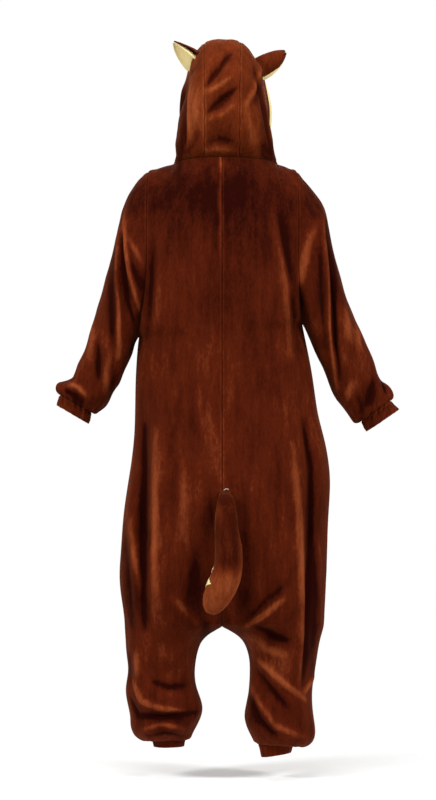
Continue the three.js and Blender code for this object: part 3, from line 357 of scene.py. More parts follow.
def subdivided(bm, levels):
    mesh = closed(bm, "smooth")
    obj = new_object("smooth", mesh)
    smooth = obj.modifiers.new("smooth", "SUBSURF")
    smooth.levels = 1
    # smoothing draws a rounded form in, so the control points are first moved out until it keeps its size
    wanted = points_of(mesh)
    control = wanted.copy()
    for _ in range(SIZE_STEPS):
        smoothed = obj.evaluated_get(bpy.context.evaluated_depsgraph_get()).data
        control += SIZE_GAIN * (wanted - points_of(smoothed)[: len(wanted)])
        set_points(mesh, control)
        mesh.update()
    smooth.levels = levels
    smooth.render_levels = levels
    apply_modifier(obj, smooth)
    return obj


def points_of(mesh):
    flat = np.empty(len(mesh.vertices) * 3)
    mesh.vertices.foreach_get("co", flat)
    return flat.reshape(-1, 3) / MM


def set_points(mesh, points):
    mesh.vertices.foreach_set("co", (points * MM).ravel())


def shade_smooth(mesh):
    mesh.polygons.foreach_set("use_smooth", [True] * len(mesh.polygons))


def surface_of(obj):
    return BVHTree.FromObject(obj, bpy.context.evaluated_depsgraph_get())


def tree_of(pairs):
    """A search tree of (index, point) pairs."""
    tree = kdtree.KDTree(len(pairs))
    for index, point in pairs:
        tree.insert(Vector(point), index)
    tree.balance()
    return tree


def normals_of(mesh):
    flat = np.empty(len(mesh.vertices) * 3)
    mesh.vertex_normals.foreach_get("vector", flat)
    return flat.reshape(-1, 3)


def smoothstep(low, high, value):
    s = np.clip((value - low) / (high - low), 0, 1)
    return s * s * (3 - 2 * s)


def along_path(points, path):
    """Distance of each point to a path in the frontal plane, and how far along the path it is (0 to 1)."""
    best = np.full(len(points), 1e9)
    place = np.zeros(len(points))
    lengths = [math.dist(a, b) for a, b in zip(path, path[1:])]
    done = 0.0
    for (ax, az), (bx, bz), length in zip(path, path[1:], lengths):
        dx, dz = bx - ax, bz - az
        s = np.clip(((points[:, 0] - ax) * dx + (points[:, 2] - az) * dz) / length**2, 0, 1)
        away = np.hypot(points[:, 0] - ax - s * dx, points[:, 2] - az - s * dz)
        nearer = away < best
        best = np.where(nearer, away, best)
        place = np.where(nearer, (done + s * length) / sum(lengths), place)
        done += length
    return best, place


def fold_height(points, folds):
    height = np.zeros(len(points))
    for fold in folds:
        away, place = along_path(points, fold["path"])
        taper = FOLD_ENDS + (1 - FOLD_ENDS) * np.sin(np.pi * np.clip(place, 0, 1)) ** 0.7
        across = away / fold["width"]
        profile = np.exp(-(across**2)) if fold["height"] > 0 else 1 / (1 + across**2) ** 1.6
        height += fold["height"] * taper * profile
    return height


def patch_tone(points, patches):
    tone = np.zeros(len(points))
    for patch in patches:
        across = (points[:, 0] - patch["x"]) / patch["across"]
        up = (points[:, 2] - patch["z"]) / patch["up"]
        tone += patch["tone"] * np.exp(-(across**2 + up**2))
    return tone


# The tone mark of the back: the pile's lie and its pushed-up stripe, with the painted shadows and shade of
# the patches.
def pile_and_shade_tone(points, shows):
    tone = patch_tone(points, PILE_AND_SHADE_PATCHES)
    x, z = points[:, 0], points[:, 2]
    fade = smoothstep(STRIPE["end"], STRIPE["full"], z) * (z < STRIPE["stop"])
    middle = STRIPE["x"] + STRIPE["wander"] * np.sin(z / STRIPE["wave"])
    tone += STRIPE["tone"] * fade * np.exp(-(((x - middle) / STRIPE["width"]) ** 2))
    return tone * shows


def seam_points(mesh, with_edges):
    """Points where two pieces meet, and those at open edges if with_edges says so."""
    bm = opened(mesh)
    found = set()
    for edge in bm.edges:
        faces = edge.link_faces
        if len(faces) == 2 and faces[0].material_index != faces[1].material_index:
            found.update(v.index for v in edge.verts)
        elif len(faces) == 1 and with_edges(edge):
            found.update(v.index for v in edge.verts)
    bm.free()
    return found


def open_points(mesh):
    """Points on the open edges of a mesh."""
    bm = opened(mesh)
    found = {v.index for v in bm.verts if v.is_boundary}
    bm.free()
    return found


def distance_to(points, found):
    tree = tree_of([(index, points[index]) for index in found])
    return np.array([tree.find(Vector(p))[2] for p in points])


def add_marks(mesh, marks):
    for label, values in marks.items():
        layer = mesh.attributes.new(label, "FLOAT", "POINT")
        layer.data.foreach_set("value", values)


def shape_cloth(obj, back, front, with_edges):
    """Moves the smoothed cloth along its normals: folds, slow waves, gathers and sunk seams."""
    mesh = obj.data
    points = points_of(mesh)
    x, y, z = points.T
    normals = normals_of(mesh)
    seam = distance_to(points, seam_points(mesh, with_edges))
    near = smoothstep(FOLD_FADE["near"], FOLD_FADE["far"], seam)
    shows = smoothstep(-TURN, TURN, normals[:, 1])
    folds = shows * fold_height(points, back) + (1 - shows) * fold_height(points, front)
    height = folds * (FOLD_FADE["left"] + (1 - FOLD_FADE["left"]) * near)
    for wave in WAVES:
        turns = x / wave["x"] + y / wave["y"] + z / wave["z"]
        height += near * wave["height"] * np.sin(2 * np.pi * turns + wave["phase"])
    for gather in GATHERS:
        away = np.linalg.norm(points - [gather["x"], gather["y"], gather["z"]], axis=1)
        reach = smoothstep(GATHER["start"], GATHER["full"], away) * smoothstep(0, GATHER["off_seam"], seam)
        reach *= np.exp(-seam / gather["rise"])
        turn = np.arctan2(y - gather["y"], x - gather["x"])
        ripple = np.sin(gather["ripples"] * turn + 1.3 * np.sin(3 * turn))
        height += gather["height"] * reach * ripple
    rim = smoothstep(*RIM_SWELL["side"], x) * smoothstep(*RIM_SWELL["low"], z)
    rim *= smoothstep(*RIM_SWELL["high"], z)
    rim *= smoothstep(*RIM_SWELL["edge"], distance_to(points, open_points(mesh)))
    height += RIM_SWELL["out"] * rim
    height -= SEAM["depth"] * np.exp(-((seam / SEAM["width"]) ** 2))
    height += SEAM["roll"] * np.exp(-(((seam - SEAM["roll_at"]) / SEAM["roll_width"]) ** 2))
    set_points(mesh, points + normals * height[:, None])
    # crest: painted highlight on fold ridges and painted shade in their valleys. tone: the pile's lie with
    # painted shadows and shade.
    marks = {
        "crest_shade": np.clip(folds / CREST_SHADE["height"], CREST_SHADE["low"], CREST_SHADE["high"]),
        "seam": np.minimum(seam, FAR),
        "tone": pile_and_shade_tone(points, shows),
    }
    add_marks(mesh, marks)
    mesh.update()


def ease_edge(obj, is_held, target, reach):
    """Eases an open edge of cloth onto what it is sewn to, so that no gap shows. `reach` is in mm."""
    points = points_of(obj.data)
    steps = {}
    for index in open_points(obj.data):
        if is_held(points[index]):
            steps[index] = target(points[index]) - points[index]
    tree = tree_of([(index, points[index]) for index in steps])
    for number, point in enumerate(points):
        _, index, away = tree.find(Vector(point))
        if away < reach:
            hold = 1 - away / reach
            points[number] = point + steps[index] * hold * hold * (3 - 2 * hold)
    set_points(obj.data, points)
    obj.data.update()


def neck_line(obj):
    """The neck seam of the body, as closely spaced points in mm."""
    points = []
    bm = opened(obj.data)
    for edge in bm.edges:
        if edge.is_boundary and is_neck(edge):
            a, b = (v.co / MM for v in edge.verts)
            points += [a.lerp(b, share / 8) for share in range(8)]
    bm.free()
    return tree_of(list(enumerate(points)))


def plain_marks(mesh, tone=0.0, edged=False):
    """The attributes of cloth without folds. An edged piece counts its open edge as a seam."""
    marks = {"crest_shade": np.zeros(len(mesh.vertices)), "seam": np.full(len(mesh.vertices), FAR)}
    if edged:
        marks["seam"] = np.minimum(distance_to(points_of(mesh), open_points(mesh)), FAR)
    marks["tone"] = tone + np.zeros(len(mesh.vertices))
    add_marks(mesh, marks)


def built(name, verts, faces):
    mesh = bpy.data.meshes.new(name)
    mesh.from_pydata(verts, [], faces)
    mesh.validate()
    shade_smooth(mesh)
    return new_object(name, mesh)


def cut_piece(obj, number, name):
    """The faces of one piece, as an object of its own."""
    bm = opened(obj.data)
    bmesh.ops.delete(bm, geom=[f for f in bm.faces if f.material_index != number], context="FACES")
    for face in bm.faces:
        face.material_index = 0
        face.smooth = True
    return new_object(name, closed(bm, name))


def give_thickness(obj, thickness):
    """Thickens a sheet inwards. Its cut edges are shaded sharp."""
    modified(obj, "SOLIDIFY", thickness=thickness, offset=-1, use_even_offset=False)
    bm = opened(obj.data)
    for edge in bm.edges:
        edge.smooth = edge.calc_face_angle(0) < CUT_EDGE
    bm.to_mesh(obj.data)
    bm.free()


def finish_cloth(obj, node, material):
    obj.data.materials.clear()
    obj.data.materials.append(material)
    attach(obj, "root")
    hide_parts(node)


# Materials
def node_tree(material):
    material.use_nodes = True
    nodes = material.node_tree.nodes
    return nodes, material.node_tree.links, nodes["Principled BSDF"]


# How much each layer of the pile darkens or lightens it.
PILE_SHARES = {"patches": 0.85, "streaks": 0.7, "tufts": 0.45, "seam": 0.22, "raised": 0.15, "base": 0.45}


def set_inputs(node, values):
    for label, value in values.items():
        node.inputs[label].default_value = value


def pile_group():
    """Velvety pile: mottled patches, streaks down the cloth and a fine nap, with painted light and shade:
    fold ridges painted lighter, fold valleys painted darker, and the painted patches of the tone mark.
    """
    group = bpy.data.node_groups.new("plush_pile", "ShaderNodeTree")
    face = group.interface
    for label, kind in (
        ("Dark", "NodeSocketColor"), ("Middle", "NodeSocketColor"), ("Light", "NodeSocketColor"),
        ("Ridge Shade", "NodeSocketFloat"), ("Nap", "NodeSocketFloat"),
    ):
        face.new_socket(label, in_out="INPUT", socket_type=kind)
    for label, kind in (
        ("Color", "NodeSocketColor"), ("Roughness", "NodeSocketFloat"), ("Height", "NodeSocketFloat"),
    ):
        face.new_socket(label, in_out="OUTPUT", socket_type=kind)
    nodes, links = group.nodes, group.links
    inputs = nodes.new("NodeGroupInput")
    outputs = nodes.new("NodeGroupOutput")
    place = nodes.new("ShaderNodeTexCoord")

    def noise(scale, stretch, detail, rough, distortion=0.0):
        mapping = nodes.new("ShaderNodeMapping")
        set_inputs(mapping, {"Scale": stretch})
        links.new(place.outputs["Object"], mapping.inputs["Vector"])
        texture = nodes.new("ShaderNodeTexNoise")
        set_inputs(texture, {"Scale": scale, "Detail": detail, "Roughness": rough, "Distortion": distortion})
        links.new(mapping.outputs["Vector"], texture.inputs["Vector"])
        return texture.outputs["Fac"]

    def math_node(operation, a, b, clamp=False):
        node = nodes.new("ShaderNodeMath")
        node.operation = operation
        node.use_clamp = clamp
        for socket, value in zip(node.inputs, (a, b)):
            if isinstance(value, (int, float)):
                socket.default_value = value
            else:
                links.new(value, socket)
        return node.outputs[0]

    def plus(a, b, clamp=False):
        return math_node("ADD", a, b, clamp)

    def minus(a, b, clamp=False):
        return math_node("SUBTRACT", a, b, clamp)

    def times(a, b, clamp=False):
        return math_node("MULTIPLY", a, b, clamp)

    def attribute(name):
        node = nodes.new("ShaderNodeAttribute")
        node.attribute_name = name
        return node.outputs["Fac"]

    patches = noise(9, (1, 1, 0.55), 5, 0.6, 0.4)
    streaks = noise(55, (1, 1, 0.16), 4, 0.65)
    tufts = noise(210, (1, 1, 0.45), 3, 0.7)
    nap = noise(1300, (1, 1, 0.6), 2, 0.6)
    puckers = noise(90, (1, 1, 1), 2, 0.5)
    crest_shade = attribute("crest_shade")
    seam = attribute("seam")
    shade = attribute("tone")
    for name, value in (("patches", patches), ("streaks", streaks), ("tufts", tufts)):
        shade = plus(shade, times(minus(value, 0.5), PILE_SHARES[name]))
    # painted highlight on fold ridges and painted shade in fold valleys
    shade = plus(shade, times(crest_shade, inputs.outputs["Ridge Shade"]))

    def band(middle, width):
        """1 where the seam is `middle` mm away, falling to 0 over `width` mm on both sides."""
        off = math_node("ABSOLUTE", minus(seam, middle), 0)
        return minus(1.0, math_node("DIVIDE", off, width), clamp=True)

    line = band(0.0, 1.6)
    raised = band(3.2, 2.2)
    shade = minus(shade, times(line, PILE_SHARES["seam"]))
    shade = plus(shade, times(raised, PILE_SHARES["raised"]))
    shade = plus(shade, PILE_SHARES["base"], clamp=True)

    def mixed(factor, a, b):
        mix = nodes.new("ShaderNodeMix")
        mix.data_type = "RGBA"
        links.new(factor, mix.inputs["Factor"])
        links.new(a, mix.inputs["A"])
        links.new(b, mix.inputs["B"])
        return mix.outputs["Result"]

    low = mixed(times(shade, 2.0, clamp=True), inputs.outputs["Dark"], inputs.outputs["Middle"])
    high = mixed(minus(times(shade, 2.0), 1.0, clamp=True), low, inputs.outputs["Light"])
    links.new(high, outputs.inputs["Color"])
    links.new(minus(0.92, times(shade, 0.25)), outputs.inputs["Roughness"])
    near_seam = minus(1.0, math_node("DIVIDE", seam, 14.0), clamp=True)
    relief = plus(times(nap, inputs.outputs["Nap"]), times(tufts, 0.8))
    relief = plus(relief, times(times(near_seam, puckers), 0.9))
    links.new(minus(relief, times(line, 0.8)), outputs.inputs["Height"])
    return group


PILE = pile_group()


def plush(name, dark, middle, light, ridge_shade, nap, sheen, tint):
    material = bpy.data.materials.new(name)
    nodes, links, shader = node_tree(material)
    pile = nodes.new("ShaderNodeGroup")
    pile.node_tree = PILE
    set_inputs(pile, {"Dark": (*dark, 1), "Middle": (*middle, 1), "Light": (*light, 1)})
    # Ridge: how strongly fold ridges are painted lighter and fold valleys darker
    set_inputs(pile, {"Ridge Shade": ridge_shade, "Nap": nap})
    bump = nodes.new("ShaderNodeBump")
    set_inputs(bump, {"Strength": 0.6, "Distance": 0.0016})
    links.new(pile.outputs["Color"], shader.inputs["Base Color"])
    links.new(pile.outputs["Roughness"], shader.inputs["Roughness"])
    links.new(pile.outputs["Height"], bump.inputs["Height"])
    links.new(bump.outputs["Normal"], shader.inputs["Normal"])
    set_inputs(shader, {"Sheen Weight": sheen, "Sheen Roughness": 0.38, "Sheen Tint": (*tint, 1)})
    set_inputs(shader, {"Specular IOR Level": 0.03})
    return material


BROWN = plush(
    "plush_brown_body", (0.018, 0.0013, 0.0003), (0.082, 0.0100, 0.0019), (0.26, 0.054, 0.015),
    ridge_shade=0.8, nap=0.6, sheen=0.12, tint=(0.9, 0.26, 0.09),
)
# The hood and the tail take lighter copies of the same brown plush: painted light, for the way light catches
# their pile.
HOOD_BROWN = plush(
    "plush_brown_hood", (0.030, 0.0026, 0.0005), (0.125, 0.019, 0.0036), (0.30, 0.072, 0.020),
    ridge_shade=0.7, nap=0.6, sheen=0.19, tint=(0.95, 0.32, 0.12),
)
TAIL_BROWN = plush(
    "plush_brown_tail", (0.036, 0.0036, 0.0007), (0.125, 0.019, 0.0036), (0.30, 0.070, 0.020),
    ridge_shade=0.4, nap=0.7, sheen=0.2, tint=(0.95, 0.32, 0.12),
)
CREAM = plush(
    "plush_cream", (0.70, 0.52, 0.22), (0.90, 0.76, 0.36), (0.97, 0.88, 0.55),
    ridge_shade=0.2, nap=0.6, sheen=0.3, tint=(1.0, 0.93, 0.7),
)


NECK_LOW = -0.11  # every open edge of the body above this height is its neck, in m
NECK_NEAR = 4.0  # how near the neck seam the hood's foot is, in mm
FOOT_TOP = 30


def is_neck(edge):
    z = (edge.verts[0].co.z + edge.verts[1].co.z) / 2
    return z > NECK_LOW


def is_near_neck(place):
    """True for the hood's foot, and not for the rim of the face opening just above it."""
    return neck.find(place / MM)[2] < NECK_NEAR


def is_hood_foot(edge):
    return is_near_neck((edge.verts[0].co + edge.verts[1].co) / 2)


def is_foot_point(point):
    return point[2] < FOOT_TOP and is_near_neck(Vector(point) * MM)


def neck_place(point):
    return np.array(neck.find(Vector(point))[0])


def shaped_cloth(names, back, front, with_edges):
    whole = subdivided(join_sheets(names, WALL["plush"]), SMOOTH)
    shape_cloth(whole, back, front, with_edges)
    return whole


def cut_pieces(whole, names, material):
    for number, name in enumerate(names):
        piece = cut_piece(whole, number, name + "_plush")
        give_thickness(piece, CLOTH)
        finish_cloth(piece, name, material)
    mesh = whole.data
    bpy.data.objects.remove(whole)
    bpy.data.meshes.remove(mesh)


body = shaped_cloth(BODY, BACK_FOLDS, FRONT_FOLDS, is_neck)
neck = neck_line(body)
hood = shaped_cloth(HOOD, HOOD_FOLDS, [], is_hood_foot)
ease_edge(hood, is_foot_point, neck_place, NECK_HOLD)
hood_surface = surface_of(hood)
body_surface = surface_of(body)
cut_pieces(body, BODY, BROWN)
cut_pieces(hood, HOOD, HOOD_BROWN)


# Face band, ears, placket
def single_sheet(node, wall, levels, material, sharp=None, thickness=CLOTH, fit=None, tone=0.0):
    sheet = outer_sheet(node, wall, sharp)
    bmesh.ops.recalc_face_normals(sheet, faces=sheet.faces)
    obj = subdivided(sheet, levels)
    obj.name = node + "_cloth"
    shade_smooth(obj.data)
    if fit:
        fit(obj)
    plain_marks(obj.data, tone, material is not CREAM)
    give_thickness(obj, thickness)
    finish_cloth(obj, node, material)
    return obj


BAND_HOLD = 16.0  # how far in the face band is eased onto the rim of the hood, in mm
BAND_NEAR = 8.0  # how near the hood the band's outer edge is


def is_band_edge(point):
    return hood_surface.find_nearest(Vector(point * MM))[3] < BAND_NEAR * MM


def hood_place(point):
    return np.array(hood_surface.find_nearest(Vector(point * MM))[0]) / MM


def fit_band(obj):
    ease_edge(obj, is_band_edge, hood_place, BAND_HOLD)


single_sheet("hood_front_band", WALL["plush"], SMOOTH, CREAM, fit=fit_band)
EAR_EDGE = math.radians(55)
EAR_CLOTH = 1.9 * MM
EAR_HOLD = 7.0  # how far up an ear its foot is eased onto the hood, in mm
EAR_GRIP = 1.6
# The near rim of each ear spreads at its foot: `shift` in mm there, fading out towards the tip.
EARS = {
    "left": {
        "base": (72, 4, 243), "tip": (0.68, -0.10, 0.73), "across": (-0.23, 0.91, 0.34),
        "length": 56, "half": 28,
        "shift": {"back": (-9, 0, 13), "inner": (-3, 0, 4)}, "move": {"back": 0, "inner": 0},
    },
    "right": {
        "base": (-90, 4, 229), "tip": (-0.86, -0.04, 0.50), "across": (-0.50, 0.05, -0.86),
        "length": 64, "half": 27,
        "shift": {"back": (0, 0, 0), "inner": (0, 0, 0)}, "move": {"back": 0, "inner": 4.0},
    },
}


def fit_ear(side, part):
    row = EARS[side]
    base, tip, across = (np.array(row[key], dtype=float) for key in ("base", "tip", "across"))
    shift = np.array(row["shift"][part], dtype=float)

    def moved(point):
        along = np.clip((point - base) @ tip / row["length"], 0, 1)
        side_way = np.clip((point - base) @ across / row["half"], 0, 1)
        point = point + shift * side_way * (1 - along) + across * row["move"][part] * side_way
        place, _, _, away = hood_surface.find_nearest(Vector(point * MM))
        hold = np.clip(1 - away / MM / EAR_HOLD, 0, 1)
        return point + (np.array(place) / MM - point) * min(1.0, EAR_GRIP * hold)

    def fit(obj):
        points = np.array([moved(point) for point in points_of(obj.data)])
        set_points(obj.data, points)

    return fit


for side in ("left", "right"):
    for part, material, slot, tone in (
        ("back", HOOD_BROWN, "plush_brown", -0.2), ("inner", CREAM, "plush_cream", 0.0),
    ):
        node, fit = f"ear_{part}_{side}", fit_ear(side, part)
        single_sheet(node, WALL["ear"], SMOOTH, material, EAR_EDGE, EAR_CLOTH, fit, tone)
PLACKET_CLOTH = 2.6 * MM
placket = single_sheet("front_placket", WALL["placket"], 2, BROWN, None, PLACKET_CLOTH)


# Tail
TAIL = {
    "voxel": 0.005, "pressure": 4.0, "frames": 20, "cap": 0.008, "shrink": 0.0012,
    # the base is eased onto the seat and the tip is lifted, each between two heights, in mm
    "hold": (-790, -765), "hold_reach": 26, "grip": 1.7, "tip": (-900, -1035), "tip_lift": (3.5, 0, 7.0),
}
# The tip is light, and the tail gets darker between two heights.
TAIL_TONE = {"tip": 0.22, "drop": 0.58, "heights": (-945, -890)}
# Patches on the tail, in mm: painted shade across a crease and near the root, and painted highlights along
# its edges.
TAIL_SHADE_AND_LIGHT_PATCHES = table(PATCH_COLUMNS, [
    (-10, -770, 9, 40, -0.15),
    (-14, -905, 22, 16, -0.15),
    (10, -790, 6, 30, 0.15),
    (-44, -880, 7, 60, 0.2),
    (12, -880, 6, 40, 0.15),
])


def make_tail():
    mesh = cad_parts["tail"].data.copy()
    mesh.name = "tail_plush"
    obj = new_object("tail_plush", mesh)
    bm = opened(mesh)
    bmesh.ops.remove_doubles(bm, verts=bm.verts, dist=SAME_POINT)
    bm.normal_update()
    for vert in bm.verts:
        vert.co -= vert.normal * TAIL["shrink"]
    bm.to_mesh(mesh)
    bm.free()
    modified(obj, "REMESH", mode="VOXEL", voxel_size=TAIL["voxel"])
    start = [v.co.copy() for v in obj.data.vertices]
    cloth = obj.modifiers.new("stuffing", "CLOTH")
    cloth.settings.use_pressure = True
    cloth.settings.uniform_pressure_force = TAIL["pressure"]
    cloth.settings.effector_weights.gravity = 0
    scene = bpy.context.scene
    for number in range(1, TAIL["frames"] + 1):
        scene.frame_set(number)
    shaped = obj.evaluated_get(bpy.context.evaluated_depsgraph_get())
    ends = [v.co.copy() for v in shaped.data.vertices]
    obj.modifiers.remove(cloth)
    scene.frame_set(1)
    for vert, a, b in zip(obj.data.vertices, start, ends):
        step = b - a
        if step.length > TAIL["cap"]:
            step.length = TAIL["cap"]
        vert.co = a + step
    modified(obj, "SMOOTH", factor=0.5, iterations=6)
    for vert in obj.data.vertices:
        low = float(smoothstep(*TAIL["tip"], vert.co.z / MM))
        vert.co += Vector(TAIL["tip_lift"]) * low * MM
        hold = float(smoothstep(*TAIL["hold"], vert.co.z / MM))
        if hold > 0:
            place, _, _, away = body_surface.find_nearest(vert.co)
            reach = max(0.0, 1 - away / (TAIL["hold_reach"] * MM))
            vert.co = vert.co + (place - vert.co) * hold * min(1.0, TAIL["grip"] * reach)
    modified(obj, "SUBSURF", levels=1, render_levels=1)
    shade_smooth(obj.data)
    points = points_of(obj.data)
    up = smoothstep(*TAIL_TONE["heights"], points[:, 2])
    plain_marks(obj.data, TAIL_TONE["tip"] - TAIL_TONE["drop"] * up + patch_tone(points, TAIL_SHADE_AND_LIGHT_PATCHES))
    obj.data.materials.clear()
    obj.data.materials.append(TAIL_BROWN)
    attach(obj, "root")
    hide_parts("tail")
    return obj


tail = make_tail()

# The cream lining, in mm and degrees. Its middle line has a knot every `knot` rows, its edges have teeth.
INNER = {
    "top": -846, "end": -1008, "rows": 180, "columns": 40, "knot": 12, "slice": 6, "lift": 1.4, "thick": 1.2,
    "right": -62, "left": 58, "pitch": 8.0, "right_teeth": 6, "left_teeth": 14,
}
# Where its left edge turns out past the tail's side and shows from behind: degrees more, round a height.
SHOWS = table(("z", "half", "turn"), [(-950, 10, 66), (-921, 7, 38)])


def middle_of(obj, z):
    near = [v.co for v in obj.data.vertices if abs(v.co.z - z * MM) < INNER["slice"] * MM]
    low = [min(p[axis] for p in near) for axis in range(2)]
    high = [max(p[axis] for p in near) for axis in range(2)]
    return [(a + b) / 2 for a, b in zip(low, high)]


def tooth_at(z):
    return abs((z / INNER["pitch"]) % 1 - 0.5) * 2


def inner_edge(z):
    """How far round the tail its lining reaches on the left, in degrees from the side facing the body."""
    turns = sum(row["turn"] * math.exp(-(((z - row["z"]) / row["half"]) ** 2)) for row in SHOWS)
    return INNER["left"] + turns + INNER["left_teeth"] * (tooth_at(z) - 0.5)


def make_tail_inner():
    surface = surface_of(tail)
    verts, faces = [], []
    rows, columns, knot = INNER["rows"], INNER["columns"], INNER["knot"]
    heights = [INNER["top"] + (INNER["end"] - INNER["top"]) * row / rows for row in range(rows + 1)]
    knots = {z: middle_of(tail, z) for z in heights[::knot]}
    for row, z in enumerate(heights):
        past = row % knot
        low = heights[row - past]
        high = heights[min(rows, row - past + knot)]
        x, y = (a + (b - a) * (past / knot) for a, b in zip(knots[low], knots[high]))
        start, end = INNER["right"] - INNER["right_teeth"] * tooth_at(z), inner_edge(z)
        for column in range(columns + 1):
            angle = math.radians(start + (end - start) * column / columns)
            way = Vector((math.sin(angle), -math.cos(angle), 0))
            place, normal, _, _ = surface.ray_cast(Vector((x, y, z * MM)) + way * 0.2, -way)
            verts.append(place + normal * INNER["lift"] * MM)
    step = columns + 1
    for row in range(rows):
        for column in range(columns):
            first = row * step + column
            faces.append((first, first + step, first + step + 1, first + 1))
    obj = built("tail_inner_cloth", verts, faces)
    plain_marks(obj.data)
    give_thickness(obj, INNER["thick"] * MM)
    finish_cloth(obj, "tail_inner", CREAM)
    return obj


make_tail_inner()


# Buttons and stitches
def two_tone(name, pattern, scale, dark, light, rough):
    """Clouds in moulded plastic, or the slanting twist of sewing thread, between two tones."""
    material = bpy.data.materials.new(name)
    nodes, links, shader = node_tree(material)
    place = nodes.new("ShaderNodeTexCoord")
    texture = nodes.new(pattern)
    set_inputs(texture, {"Scale": scale})
    if pattern == "ShaderNodeTexWave":
        texture.bands_direction = "DIAGONAL"
    ramp = nodes.new("ShaderNodeValToRGB")
    for element, tone in zip(ramp.color_ramp.elements, (dark, light)):
        element.color = (*tone, 1)
    links.new(place.outputs["Object"], texture.inputs["Vector"])
    links.new(texture.outputs["Fac"], ramp.inputs["Fac"])
    links.new(ramp.outputs["Color"], shader.inputs["Base Color"])
    set_inputs(shader, {"Roughness": rough, "Specular IOR Level": 0.1})
    return material


CLOUDS, TWIST = "ShaderNodeTexNoise", "ShaderNodeTexWave"
PLASTIC = two_tone("button_plastic", CLOUDS, 120, (0.016, 0.005, 0.002), (0.085, 0.026, 0.010), 0.5)
BROWN_THREAD = two_tone("thread_brown", TWIST, 700, (0.05, 0.010, 0.003), (0.20, 0.055, 0.018), 0.8)
WHITE_THREAD = two_tone("thread_white", TWIST, 700, (0.62, 0.56, 0.48), (0.92, 0.88, 0.80), 0.8)
CORD_END = 0.45  # how thin a cord gets at its ends


def add_cord(verts, faces, path, radius, sides=6):
    """Adds a closed cord along a path of points."""
    first = len(verts)
    for number, point in enumerate(path):
        way = path[min(number + 1, len(path) - 1)] - path[max(number - 1, 0)]
        across = way.orthogonal().normalized()
        up = way.cross(across).normalized()
        wide = radius * (CORD_END if number in (0, len(path) - 1) else 1.0)
        for side in range(sides):
            turn = 2 * math.pi * side / sides
            verts.append(point + (across * math.cos(turn) + up * math.sin(turn)) * wide)
    for ring in range(len(path) - 1):
        for side in range(sides):
            a = first + ring * sides + side
            b = first + ring * sides + (side + 1) % sides
            faces.append((a, b, b + sides, a + sides))
    last = len(verts) - sides
    faces.append(tuple(reversed(range(first, first + sides))))
    faces.append(tuple(range(last, last + sides)))


def cords(name, paths, radius, material, sides=6):
    verts, faces = [], []
    for path in paths:
        add_cord(verts, faces, path, radius, sides)
    obj = built(name, verts, faces)
    obj.data.materials.append(material)
    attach(obj, "root")
    return obj


BUTTON = {
    "inset": 0.0022, "dish": 0.0010, "bevel": 0.0008, "hole": 0.0011, "hole_at": 0.0025,
    "thread": 0.00045, "thread_at": 0.85, "thread_deep": 0.4,
}


def face_of(node):
    """Middle, direction and radius of a packed button's outer face."""
    mesh = node.data
    cap = max((p for p in mesh.polygons if p.normal.y < -0.5), key=lambda p: p.area)
    way = cap.normal.copy()
    middle = sum((v.co for v in mesh.vertices), Vector()) / len(mesh.vertices)
    high = max((v.co - middle).dot(way) for v in mesh.vertices)
    radius = max(((v.co - middle) - way * (v.co - middle).dot(way)).length for v in mesh.vertices)
    return middle, way, high, radius


def make_button(number):
    name = f"button_{number}"
    middle, way, high, radius = face_of(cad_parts[name])
    select_only(placket)
    bpy.ops.mesh.primitive_cylinder_add(vertices=40, radius=radius, depth=2 * high, location=(0, 0, 0))
    obj = bpy.context.active_object
    obj.name = name + "_moulded"
    bpy.ops.object.mode_set(mode="EDIT")
    bm = bmesh.from_edit_mesh(obj.data)
    for part in (bm.verts, bm.edges, bm.faces):
        for item in part:
            item.select = False
    top = max(bm.faces, key=lambda f: f.calc_center_median().z)
    top.select = True
    bmesh.update_edit_mesh(obj.data)
    bpy.ops.mesh.inset(thickness=BUTTON["inset"], depth=0)
    bpy.ops.mesh.inset(thickness=BUTTON["dish"], depth=-BUTTON["dish"])
    bpy.ops.mesh.select_all(action="DESELECT")
    bpy.ops.object.mode_set(mode="OBJECT")
    modified(obj, "BEVEL", width=BUTTON["bevel"], segments=2)
    holes = []
    for turn in range(4):
        angle = math.radians(45 + 90 * turn)
        holes.append(Vector((math.cos(angle), math.sin(angle), 0)) * BUTTON["hole_at"])
    for place in holes:
        select_only(placket)
        bpy.ops.mesh.primitive_cylinder_add(
            vertices=14, radius=BUTTON["hole"], depth=6 * high, location=place
        )
        drill = bpy.context.active_object
        modified(obj, "BOOLEAN", object=drill, operation="DIFFERENCE")
        mesh = drill.data
        bpy.data.objects.remove(drill)
        bpy.data.meshes.remove(mesh)
    turned = Vector((0, 0, 1)).rotation_difference(way).to_matrix().to_4x4()
    turned.translation = middle
    obj.data.transform(turned)
    obj.data.materials.clear()
    obj.data.materials.append(PLASTIC)
    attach(obj, "root")
    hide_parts(name)
    # two crossed strands of thread through the holes
    over = Vector((0, 0, high - BUTTON["dish"] + BUTTON["thread"]))
    deep = Vector((0, 0, -high * BUTTON["thread_deep"]))
    inward = BUTTON["thread_at"]
    paths = []
    for a, b in ((holes[0], holes[2]), (holes[1], holes[3])):
        ends = (a + deep, a * inward + over, b * inward + over, b + deep)
        paths.append([turned @ end for end in ends])
    cords(name + "_thread", paths, BUTTON["thread"], BROWN_THREAD)


for number in range(1, 6):
    make_button(number)


STITCH = {
    "pitch": 4.6, "length": 3.2, "radius": 0.42, "from_edge": 3.0, "from_end": 6, "lift": 0.25, "dip": -0.3,
}


